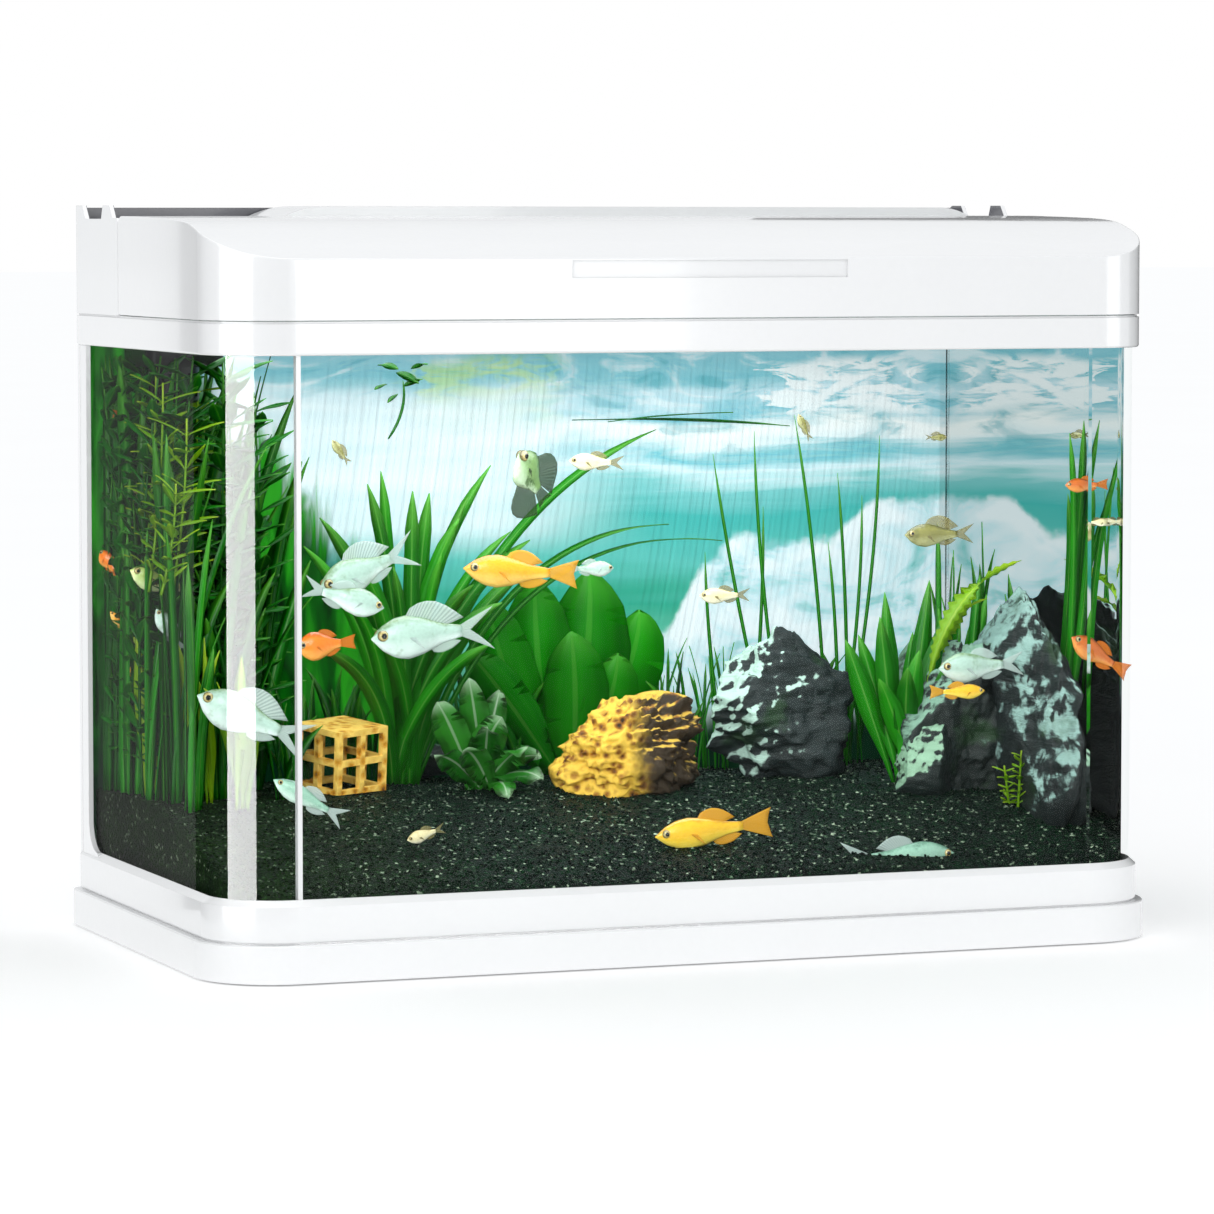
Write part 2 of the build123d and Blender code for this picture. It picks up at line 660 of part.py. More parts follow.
def arch(inset):
    """Front view of the cover: a flat top between two wide arcs, down to the shelves."""
    left_r = arch_left_r - inset
    right_r = arch_right_r - inset
    left_z = arch_left[1] - arch_left_r
    right_z = arch_right[1] - arch_right_r
    left_run = math.sqrt(left_r ** 2 - (shelf_z - left_z) ** 2)
    right_run = math.sqrt(right_r ** 2 - (shelf_z - right_z) ** 2)
    low_left = (arch_left[0] - left_run, shelf_z)
    low_right = (arch_right[0] + right_run, shelf_z)
    top_left = (arch_left[0], left_z + left_r)
    top_right = (arch_right[0], right_z + right_r)
    with BuildSketch(Plane.XZ.offset(-cover_y[1]), mode=Mode.PRIVATE) as front:
        with BuildLine():
            RadiusArc(low_left, top_left, left_r)
            Line(top_left, top_right)
            RadiusArc(top_right, low_right, right_r)
            Line(low_right, low_left)
        make_face()
    return front.sketch


with BuildPart() as filter_cover:
    add(extrude(arch(0), cover_y[1] - cover_y[0], mode=Mode.PRIVATE))
    hollow = extrude(arch(cover_t), cover_y[1] - cover_y[0] - 2 * cover_t, mode=Mode.PRIVATE)
    add(Pos(0, -cover_t, -0.01) * hollow, mode=Mode.SUBTRACT)
save(filter_cover.part, "filter_cover")

# ---------------------------------------------------------------- filter tray and media
tray_x = (-150.0, 226.0)
tray_y = (68.0, 121.0)
tray_z = (floor_top + 0.5, 345.5)
tray_t = 2.0
tray_front_z = 336.0              # lower front wall, where the spray comes over
media_gap = 0.5
sponge_x1 = 40.0
layer_z = tray_z[0] + tray_t
sponge_t = 11.0
fleece_t = 3.0

with BuildPart() as filter_tray:
    add(block(*tray_x, *tray_y, *tray_z))
    fillet(filter_tray.edges().filter_by(Axis.Z), 4)
    add(block(tray_x[0] + tray_t, tray_x[1] - tray_t, tray_y[0] + tray_t, tray_y[1] - tray_t,
              layer_z, tray_z[1] + 1), mode=Mode.SUBTRACT)
    add(block(tray_x[0] + 8, tray_x[1] - 8, tray_y[0] - 1, tray_y[0] + tray_t + 1,
              tray_front_z, tray_z[1] + 1), mode=Mode.SUBTRACT)
    divider_x = sponge_x1 + media_gap
    add(block(divider_x, divider_x + tray_t, tray_y[0] + 1, tray_y[1] - 1, layer_z - 1, tray_front_z))
    with BuildSketch(Plane.XY.offset(tray_z[0])):
        with Locations(((tray_x[0] + tray_x[1]) / 2, sum(tray_y) / 2)):
            with GridLocations(12.0, 22.0, 30, 2):
                SlotOverall(16, 3, rotation=90)
    extrude(amount=tray_t, mode=Mode.SUBTRACT)
save(filter_tray.part, "filter_tray")

media_y = (tray_y[0] + tray_t + media_gap, tray_y[1] - tray_t - media_gap)
with BuildPart() as filter_sponge:
    add(block(tray_x[0] + tray_t + media_gap, sponge_x1, *media_y, layer_z, layer_z + sponge_t))
    fillet(filter_sponge.edges().filter_by(Axis.Z), 3)
save(filter_sponge.part, "filter_sponge")

with BuildPart() as filter_fleece:
    fleece_z = layer_z + sponge_t + touch
    add(block(tray_x[0] + tray_t + media_gap, sponge_x1, *media_y, fleece_z, fleece_z + fleece_t))
    fillet(filter_fleece.edges().filter_by(Axis.Z), 3)
save(filter_fleece.part, "filter_fleece")

ring_r = 5.0
ring_h = 11.0
with BuildPart() as ceramic_rings:
    with BuildSketch(Plane.XY.offset(layer_z)):
        with Locations(((divider_x + tray_t + tray_x[1] - tray_t) / 2, sum(tray_y) / 2)):
            with GridLocations(2 * ring_r + 0.6, 2 * ring_r + 0.6, 16, 4):
                Circle(ring_r)
                Circle(ring_r / 2, mode=Mode.SUBTRACT)
    extrude(amount=ring_h)
save(ceramic_rings.part, "ceramic_rings")

# ---------------------------------------------------------------- spray bar, riser and pump
bar_r = 4.5
bar_bore = 3.2
bar_y = 60.0
bar_z = 338.0
bar_x = (riser_at[0], 214.0)
jet_x0 = -138.0                   # first spray hole
jet_pitch = 15.0
saddle_x = (-120.0, 40.0, 190.0)
saddle_t = 3.0
pump_x = (-230.5, -189.0)
pump_y = (60.0, 110.5)
pump_z = (296.0, floor_z)
rotor_at = (riser_at[0] - 4.0, 84.0)
chamber_r = 11.0
cover_plate_t = 3.0

with BuildPart() as riser_pipe:
    # from the pump's outlet up through the floor, then forwards to the bar
    with BuildLine() as riser_path:
        FilletPolyline(
            (*riser_at, pump_z[1]), (*riser_at, bar_z), (riser_at[0], bar_y + 12, bar_z), radius=8
        )
    with BuildSketch(Plane(origin=(*riser_at, pump_z[1]), z_dir=(0, 0, 1))):
        Circle(riser_r - 0.5)
        Circle(riser_bore, mode=Mode.SUBTRACT)
    sweep(path=riser_path.line)
save(riser_pipe.part, "riser_pipe")

with BuildPart() as spray_bar:
    add(along_x(*bar_x, bar_r, bar_y, bar_z))
    # elbow block that takes the riser's end
    add(block(bar_x[0] - 8, bar_x[0] + 8, bar_y - 6, bar_y + 12, bar_z - 6.5, bar_z + 6.5))
    add(along_x(bar_x[0] - 2, bar_x[1] - 3, bar_bore, bar_y, bar_z), mode=Mode.SUBTRACT)
    inlet = Cylinder(riser_bore - 0.8, 16, rotation=(90, 0, 0), mode=Mode.PRIVATE)
    add(Pos(bar_x[0], bar_y + 6, bar_z) * inlet, mode=Mode.SUBTRACT)
    # a row of spray holes towards the tray
    for k in range(24):
        jet = Cylinder(0.9, bar_r + 2, rotation=(90, 0, 0), align=(Align.CENTER, Align.CENTER, Align.MAX),
                       mode=Mode.PRIVATE)
        add(Pos(jet_x0 + jet_pitch * k, bar_y, bar_z) * jet, mode=Mode.SUBTRACT)
    # saddles that stand the bar on the housing's floor
    for x in saddle_x:
        saddle = block(x - saddle_t, x + saddle_t, bar_y - 3, bar_y + 3, floor_top, bar_z)
        add(saddle - along_x(x - 10, x + 10, bar_r - 0.5, bar_y, bar_z))
save(spray_bar.part, "spray_bar")

with BuildPart() as pump_body:
    add(block(*pump_x, *pump_y, *pump_z))
    fillet(pump_body.edges().filter_by(Axis.Z), 7)
    chamber = Cylinder(chamber_r, 18, mode=Mode.PRIVATE, align=(Align.CENTER, Align.CENTER, Align.MIN))
    add(Pos(*rotor_at, pump_z[0] - 0.01) * chamber, mode=Mode.SUBTRACT)
    outlet = Cylinder(riser_bore, 2 * (pump_z[1] - pump_z[0]) - 8, mode=Mode.PRIVATE)
    add(Pos(*riser_at, pump_z[1]) * outlet, mode=Mode.SUBTRACT)
save(pump_body.part, "pump_body")

with BuildPart() as pump_cover:
    add(block(*pump_x, *pump_y, pump_z[0] - cover_plate_t, pump_z[0]))
    fillet(pump_cover.edges().filter_by(Axis.Z), 7)
    for k in range(3):
        swing = math.radians(90 + 120 * k)
        x = rotor_at[0] + 7.0 * math.cos(swing)
        y = rotor_at[1] + 7.0 * math.sin(swing)
        add(Pos(x, y, pump_z[0]) * Cylinder(2.6, 10, mode=Mode.PRIVATE), mode=Mode.SUBTRACT)
save(pump_cover.part, "pump_cover")

strainer_r = 13.0
strainer_z = (274.0, pump_z[0] - cover_plate_t)
with BuildPart() as intake_strainer:
    can_h = strainer_z[1] - strainer_z[0]
    bottom = (Align.CENTER, Align.CENTER, Align.MIN)
    add(Pos(*rotor_at, strainer_z[0]) * Cylinder(strainer_r, can_h, align=bottom, mode=Mode.PRIVATE))
    fillet(intake_strainer.edges().group_by(Axis.Z)[0], 3)
    inside = Cylinder(strainer_r - 1.8, can_h, align=bottom, mode=Mode.PRIVATE)
    add(Pos(*rotor_at, strainer_z[0] + 2) * inside, mode=Mode.SUBTRACT)
    for k in range(8):
        slit = Box(2 * strainer_r + 4, 2.4, can_h - 7, mode=Mode.PRIVATE)
        middle = Pos(*rotor_at, sum(strainer_z) / 2)
        add(middle * Rot(0, 0, 22.5 * k) * slit, mode=Mode.SUBTRACT)
save(intake_strainer.part, "intake_strainer")

shaft_r = 1.0
with BuildPart() as impeller_shaft:
    shaft = Cylinder(shaft_r, 18 - 0.01, mode=Mode.PRIVATE, align=(Align.CENTER, Align.CENTER, Align.MIN))
    add(Pos(*rotor_at, pump_z[0]) * shaft)
save(impeller_shaft.part, "impeller_shaft")

rotor_r = 6.5
blade_r = 9.5
with BuildPart() as impeller:
    base = Pos(*rotor_at, pump_z[0] + 0.6)
    add(base * Cylinder(rotor_r, 16, align=(Align.CENTER, Align.CENTER, Align.MIN), mode=Mode.PRIVATE))
    for k in range(6):
        blade = Box(blade_r, 1.2, 5, align=(Align.MIN, Align.CENTER, Align.MIN), mode=Mode.PRIVATE)
        add(base * Rot(0, 0, 60 * k) * blade)
    hub = Cylinder(shaft_r + pin_clearance, 60, mode=Mode.PRIVATE)
    add(Pos(*rotor_at, pump_z[0]) * hub, mode=Mode.SUBTRACT)
save(impeller.part, "impeller")

knob_r = 9.0
with BuildPart() as flow_knob:
    stand_up = (Align.CENTER, Align.CENTER, Align.MIN)
    knob_z = floor_top + touch
    add(Pos(*knob_at, knob_z) * Cylinder(knob_r, 9, align=stand_up, mode=Mode.PRIVATE))
    for k in range(12):
        turn = math.radians(30 * k)
        x = knob_at[0] + knob_r * math.cos(turn)
        y = knob_at[1] + knob_r * math.sin(turn)
        add(Pos(x, y, knob_z) * Cylinder(1.2, 30, mode=Mode.PRIVATE), mode=Mode.SUBTRACT)
    add(Pos(*knob_at, knob_z + 9) * Box(3, 15, 3, align=stand_up, mode=Mode.PRIVATE))
    stem_h = floor_t
    stem = Cylinder(stem_r, stem_h, align=(Align.CENTER, Align.CENTER, Align.MAX), mode=Mode.PRIVATE)
    add(Pos(*knob_at, knob_z) * stem)
save(flow_knob.part, "flow_knob")
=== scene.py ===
import json
import math
import random

import bmesh
import bpy
from mathutils import Matrix, Vector, noise

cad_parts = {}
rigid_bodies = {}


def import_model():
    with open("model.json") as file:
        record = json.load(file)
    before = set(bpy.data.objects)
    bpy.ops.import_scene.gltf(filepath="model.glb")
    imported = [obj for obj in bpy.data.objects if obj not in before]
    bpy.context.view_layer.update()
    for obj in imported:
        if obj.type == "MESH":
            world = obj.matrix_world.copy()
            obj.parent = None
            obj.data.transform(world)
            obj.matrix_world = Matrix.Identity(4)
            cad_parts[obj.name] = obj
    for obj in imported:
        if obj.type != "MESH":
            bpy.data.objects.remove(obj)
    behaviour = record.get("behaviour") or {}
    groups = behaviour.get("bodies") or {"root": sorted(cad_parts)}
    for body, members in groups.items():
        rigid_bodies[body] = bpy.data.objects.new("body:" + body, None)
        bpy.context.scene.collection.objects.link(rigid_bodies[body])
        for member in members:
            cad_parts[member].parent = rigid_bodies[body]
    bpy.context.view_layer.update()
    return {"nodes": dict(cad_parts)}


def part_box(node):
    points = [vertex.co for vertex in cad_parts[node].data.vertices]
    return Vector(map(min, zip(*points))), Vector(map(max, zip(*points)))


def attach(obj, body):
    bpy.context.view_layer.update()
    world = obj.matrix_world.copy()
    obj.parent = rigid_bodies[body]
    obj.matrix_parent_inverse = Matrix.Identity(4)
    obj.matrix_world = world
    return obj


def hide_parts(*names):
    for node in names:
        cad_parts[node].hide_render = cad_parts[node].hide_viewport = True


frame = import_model()
nodes = frame["nodes"]

# Metres. Origin: centre of the footprint on the floor. +X right, +Y back, +Z up; the front faces -Y.

# ---------------------------------------------------------------- camera
cam_data = bpy.data.cameras.new("camera")
cam_data.lens = 164.1
cam_data.sensor_width = 36.0
camera = bpy.data.objects.new("camera", cam_data)
camera.location = (-1.0189, -2.6578, 0.3729)
camera.rotation_euler = (math.radians(85.9), 0, math.radians(-20.91))
bpy.context.scene.collection.objects.link(camera)
bpy.context.scene.camera = camera
bpy.context.scene.view_settings.view_transform = "Standard"


# ---------------------------------------------------------------- node helpers
class Shader:
    """A small wrapper that makes a material's nodes and links in one line each."""

    def __init__(self, name):
        self.mat = bpy.data.materials.new(name)
        self.mat.use_nodes = True
        self.tree = self.mat.node_tree
        self.tree.nodes.clear()
        self.out = self.tree.nodes.new("ShaderNodeOutputMaterial")
        self.coord = self.tree.nodes.new("ShaderNodeTexCoord").outputs["Object"]

    def node(self, kind, settings=None, **inputs):
        made = self.tree.nodes.new("ShaderNode" + kind)
        for key, value in (settings or {}).items():
            setattr(made, key, value)
        for key, value in inputs.items():
            self.put(made, key.replace("_", " "), value)
        return made

    def put(self, made, key, value):
        socket = made.inputs[int(key[1:])] if key[0] == "i" and key[1:].isdigit() else made.inputs[key]
        if isinstance(value, bpy.types.NodeSocket):
            self.tree.links.new(value, socket)
        elif isinstance(value, tuple) and len(value) == 3 and socket.type == "RGBA":
            socket.default_value = (*value, 1)
        else:
            socket.default_value = value

    def math(self, kind, a, b=0.0):
        return self.node("Math", {"operation": kind}, i0=a, i1=b).outputs[0]

    def times(self, a, b):
        return self.math("MULTIPLY", a, b)

    def plus(self, a, b):
        return self.math("ADD", a, b)

    def minus(self, a, b):
        return self.math("SUBTRACT", a, b)

    def around(self, value, amount):
        """A 0-to-1 value made to swing by amount about zero."""
        return self.times(self.minus(value, 0.5), amount)

    def scaled(self, scale, move=(0, 0, 0)):
        return self.node("Mapping", Vector=self.coord, Scale=scale, Location=move).outputs[0]

    def noise(self, scale, detail=2.0, rough=0.5, source=None, distortion=0.0):
        return self.node("TexNoise", Vector=source or self.coord, Scale=scale, Detail=detail,
                         Roughness=rough, Distortion=distortion).outputs["Fac"]

    def cells(self, scale, output="Distance", randomness=1.0):
        made = self.node("TexVoronoi", Vector=self.coord, Scale=scale, Randomness=randomness)
        return made.outputs[output]

    def ramp(self, fac, *stops, curve="LINEAR"):
        """stops are (position, (r, g, b)) or (position, grey)."""
        made = self.node("ValToRGB", i0=fac)
        ramp = made.color_ramp
        ramp.interpolation = curve
        while len(ramp.elements) < len(stops):
            ramp.elements.new(0.5)
        for element, (place, colour) in zip(ramp.elements, stops):
            element.position = place
            if not isinstance(colour, tuple):
                colour = (colour, colour, colour)
            element.color = (*colour, 1)
        return made.outputs[0]

    def mix(self, fac, a, b):
        """Colour a where fac is 0, b where it is 1."""
        made = self.node("Mix", {"data_type": "RGBA", "clamp_factor": True}, i0=fac)
        self.put(made, "i6", a)
        self.put(made, "i7", b)
        return made.outputs[2]

    def remap(self, value, low, high, first, last, kind="LINEAR"):
        return self.node("MapRange", {"interpolation_type": kind}, i0=value, i1=low, i2=high,
                         i3=first, i4=last).outputs[0]

    def step(self, value, low, high, first=0.0, last=1.0):
        return self.remap(value, low, high, first, last, "SMOOTHSTEP")

    def band(self, value, low, high, soft):
        """1 between low and high, falling to 0 over soft either side."""
        return self.times(self.step(value, low - soft, low), self.step(value, high, high + soft, 1.0, 0.0))

    def bump(self, height, distance, strength=1.0, normal=None):
        made = self.node("Bump", Height=height, Distance=distance, Strength=strength)
        if normal is not None:
            self.put(made, "Normal", normal)
        return made.outputs[0]

    def xyz(self, source=None):
        return tuple(self.node("SeparateXYZ", Vector=source or self.coord).outputs)

    def normal(self, kind="Normal"):
        return self.xyz(self.node("NewGeometry").outputs[kind])

    def painted(self, name):
        """The three values that a mesh carries in its point colours."""
        return self.xyz(self.node("Attribute", {"attribute_name": name}).outputs["Color"])

    def shader(self, kind, **inputs):
        return self.node("Bsdf" + kind, **inputs).outputs[0]

    def principled(self, **inputs):
        return self.shader("Principled", **inputs)

    def shaders(self, fac, a, b):
        """Shader a where fac is 0, b where it is 1."""
        return self.node("MixShader", i0=fac, i1=a, i2=b).outputs[0]

    def finish(self, surface):
        self.tree.links.new(surface, self.out.inputs["Surface"])
        return self.mat

    def surface(self, **inputs):
        """Ends a material that is one principled shader."""
        return self.finish(self.principled(**inputs))


def dress(material, *names):
    for name in names:
        nodes[name].data.materials.clear()
        nodes[name].data.materials.append(material)


# ---------------------------------------------------------------- studio
def link(name, data):
    obj = bpy.data.objects.new(name, data)
    bpy.context.scene.collection.objects.link(obj)
    return obj


def area_light(name, place, target, size, power, colour=(1, 1, 1)):
    data = bpy.data.lights.new(name, "AREA")
    data.shape = "RECTANGLE"
    data.size, data.size_y = size
    data.energy = power
    data.color = colour
    light = link(name, data)
    light.location = place
    aim = Vector(target) - Vector(place)
    light.rotation_euler = aim.to_track_quat("-Z", "Y").to_euler()
    light.visible_camera = False
    return light


def only_for(light, objects):
    """The light shines on these objects alone."""
    group = bpy.data.collections.new(light.name + "_targets")
    for obj in objects:
        group.objects.link(obj)
    light.light_linking.receiver_collection = group


def make_world():
    world = bpy.data.worlds.new("studio")
    bpy.context.scene.world = world
    world.use_nodes = True
    tree = world.node_tree
    tree.nodes.clear()
    out = tree.nodes.new("ShaderNodeOutputWorld")
    path = tree.nodes.new("ShaderNodeLightPath")
    pick = tree.nodes.new("ShaderNodeMixShader")
    tree.links.new(path.outputs["Is Camera Ray"], pick.inputs[0])
    # soft light on the object, plain white behind it
    for entry, colour, strength in ((1, (0.97, 0.985, 1.0, 1), 0.80), (2, (1, 1, 1, 1), 1.0)):
        sky = tree.nodes.new("ShaderNodeBackground")
        sky.inputs["Color"].default_value = colour
        sky.inputs["Strength"].default_value = strength
        tree.links.new(sky.outputs[0], pick.inputs[entry])
    tree.links.new(pick.outputs[0], out.inputs["Surface"])


def make_floor():
    mesh = bpy.data.meshes.new("studio_floor")
    reach = 30.0
    mesh.from_pydata([(-reach, -reach, 0), (reach, -reach, 0), (reach, reach, 0), (-reach, reach, 0)], [],
                     [(0, 1, 2, 3)])
    s = Shader("studio_floor")
    tone = s.mix(s.noise(3.0, 2.0), (0.93, 0.93, 0.93), (0.96, 0.96, 0.96))
    paint = s.shader("Diffuse", Color=tone)
    lift = s.node("Emission", Color=(1, 1, 1), Strength=0.24).outputs[0]
    mesh.materials.append(s.finish(s.node("AddShader", i0=paint, i1=lift).outputs[0]))
    link("studio_floor", mesh)


# ---------------------------------------------------------------- hard materials
def moulded(s, tone, gloss, coat):
    """The skin that all the plastics share: soft edges, orange peel and a clear coat."""
    edge = s.node("Bevel", {"samples": 4}, Radius=0.0004).outputs[0]
    peel = s.bump(s.noise(420.0, 2.0, 0.5), 0.00006, 0.5, edge)
    return s.surface(Base_Color=tone, Roughness=gloss, Normal=peel, Coat_Weight=coat, Coat_Roughness=0.06,
                     IOR=1.49)


def plastic(name, colour, rough, dirt=0.015, coat=0.0):
    """Moulded gloss plastic: faint flow marks in the colour and uneven gloss."""
    s = Shader(name)
    cloud = s.noise(14.0, 4.0, 0.55)
    fine = s.noise(260.0, 3.0, 0.6)
    darker = tuple(c * (1 - 2 * dirt) for c in colour)
    tone = s.mix(cloud, darker, colour)
    lighter = tuple(min(c * (1 + dirt), 1) for c in colour)
    tone = s.mix(s.ramp(fine, (0.35, 0.0), (0.75, 0.35)), tone, lighter)
    return moulded(s, tone, s.remap(cloud, 0.3, 0.7, rough * 0.85, rough * 1.2), coat)


def rough_solid(name, dark, light, scale, rough, distance):
    """Matt solid with a speckled, bumpy surface."""
    s = Shader(name)
    speck = s.noise(scale, 5.0, 0.65)
    tone = s.mix(speck, dark, light)
    return s.surface(Base_Color=tone, Roughness=rough, Normal=s.bump(speck, distance, 0.6))


def brushed(name, colour, rough):
    """Metal with fine lines along x."""
    s = Shader(name)
    hair = s.noise(1.0, 3.0, 0.6, s.scaled((40.0, 900.0, 900.0)))
    tone = s.mix(hair, tuple(c * 0.75 for c in colour), colour)
    gloss = s.remap(hair, 0.3, 0.7, rough * 0.7, rough * 1.3)
    return s.surface(Base_Color=tone, Roughness=gloss, Metallic=1.0, Normal=s.bump(hair, 0.00004, 0.5))


def porous(name, dark, light, cell, depth):
    """Open-cell foam or fibre: a net of cells with dark pores between."""
    s = Shader(name)
    holes = s.cells(1.0 / cell)
    net = s.plus(s.times(holes, 0.8), s.times(s.noise(2.0 / cell, 3.0), 0.3))
    tone = s.ramp(net, (0.2, dark), (0.65, light))
    return s.surface(Base_Color=tone, Roughness=0.95, Normal=s.bump(net, depth, 0.9))


pane_tint = (0.985, 0.995, 0.99)
coated_share = 0.12  # how much of bare glass's reflection is left on a coated pane


def glass(name, into_water=0.0, bright_bend=False):
    """Pane: clear, with the faint reflection of its coated outer face.

    into_water is -1 or 1 for a side pane whose inner face, which looks towards the other side, mirrors
    the water at a flat angle. bright_bend gives the middle of the bent corner its full reflection.
    """
    s = Shader(name)
    geo = s.node("NewGeometry")
    outside = s.minus(1.0, geo.outputs["Backfacing"])
    nx = s.xyz(geo.outputs["Normal"])[0]
    coating = coated_share
    if bright_bend:
        bend = s.band(s.times(nx, -1.0), 0.46, 0.89, 0.03)
        coating = s.plus(s.times(bend, 1.0 - coated_share), coated_share)
    gleam = s.times(s.node("Fresnel", IOR=1.45).outputs[0], coating)
    if into_water:
        inner = s.math("GREATER_THAN", s.times(nx, -into_water), 0.5)
        mirror = s.node("Fresnel", IOR=0.76).outputs[0]
        gleam = s.mix(inner, gleam, mirror)
    fac = s.times(gleam, outside)
    lit = s.node("LightPath").outputs["Is Shadow Ray"]
    fac = s.times(fac, s.minus(1.0, lit))
    smear = s.noise(6.0, 4.0, 0.6)
    clear = s.shader("Transparent", Color=s.mix(smear, pane_tint, tuple(c * 0.992 for c in pane_tint)))
    shine = s.shader("Glossy", Color=(1, 1, 1), Roughness=0.0)
    return s.finish(s.shaders(fac, clear, shine))


def translucent(name, colour, clear_part, rough):
    """Milky or clear silicone and acrylic."""
    s = Shader(name)
    cloud = s.noise(180.0, 3.0, 0.6)
    tone = s.mix(cloud, tuple(c * 0.9 for c in colour), colour)
    body = s.principled(Base_Color=tone, Roughness=rough, Normal=s.bump(cloud, 0.00005, 0.5))
    clear = s.shader("Transparent", Color=tone)
    return s.finish(s.shaders(clear_part, body, clear))


def housing_plastic_trough_shade():
    """White outside; the inside of the trough is painted dark grey, a painted shade."""
    s = Shader("white_plastic_trough_shade")
    trough_end, trough_front, trough_back, trough_floor = 0.2478, 0.0497, 0.1278, 0.3232
    x, y, z = s.xyz()
    inside = s.math("LESS_THAN", s.math("ABSOLUTE", x), trough_end)
    inside = s.times(inside, s.band(y, trough_front, trough_back, 0.0001))
    inside = s.times(inside, s.math("GREATER_THAN", z, trough_floor))
    cloud = s.noise(14.0, 4.0, 0.55)
    tone = s.mix(cloud, (0.835, 0.84, 0.845), (0.86, 0.865, 0.87))
    # painted shade: inside the trough the white is darkened to grey, as if in shadow
    tone = s.mix(inside, tone, s.mix(cloud, (0.12, 0.12, 0.135), (0.145, 0.145, 0.16)))
    return moulded(s, tone, s.remap(cloud, 0.3, 0.7, 0.17, 0.24), 0.3)


white = plastic("white_plastic", (0.86, 0.865, 0.87), 0.20, coat=0.6)
grey = plastic("grey_plastic", (0.20, 0.205, 0.21), 0.35)
black = plastic("black_plastic", (0.012, 0.012, 0.013), 0.3, dirt=0.2)
rubber = rough_solid("foot_rubber", (0.012, 0.012, 0.012), (0.03, 0.03, 0.03), 900.0, 0.75, 0.0001)
mat_foam = porous("mat_foam", (0.02, 0.02, 0.02), (0.06, 0.06, 0.06), 0.0015, 0.0003)
steel = brushed("steel", (0.62, 0.62, 0.63), 0.28)
lamp_metal = brushed("lamp_metal", (0.72, 0.73, 0.74), 0.38)

dress(white, "stand_plinth", "bottom_frame", "top_frame", "rear_post_left", "rear_post_right", "lid_shell",
      "filter_cover", "front_seam_left")
dress(housing_plastic_trough_shade(), "rear_housing")


def rgb(r, g, b):
    """A colour given in 0-255 screen values, as linear light."""
    linear = []
    for value in (r / 255, g / 255, b / 255):
        linear.append(((value + 0.055) / 1.055) ** 2.4 if value > 0.04045 else value / 12.92)
    return tuple(linear)


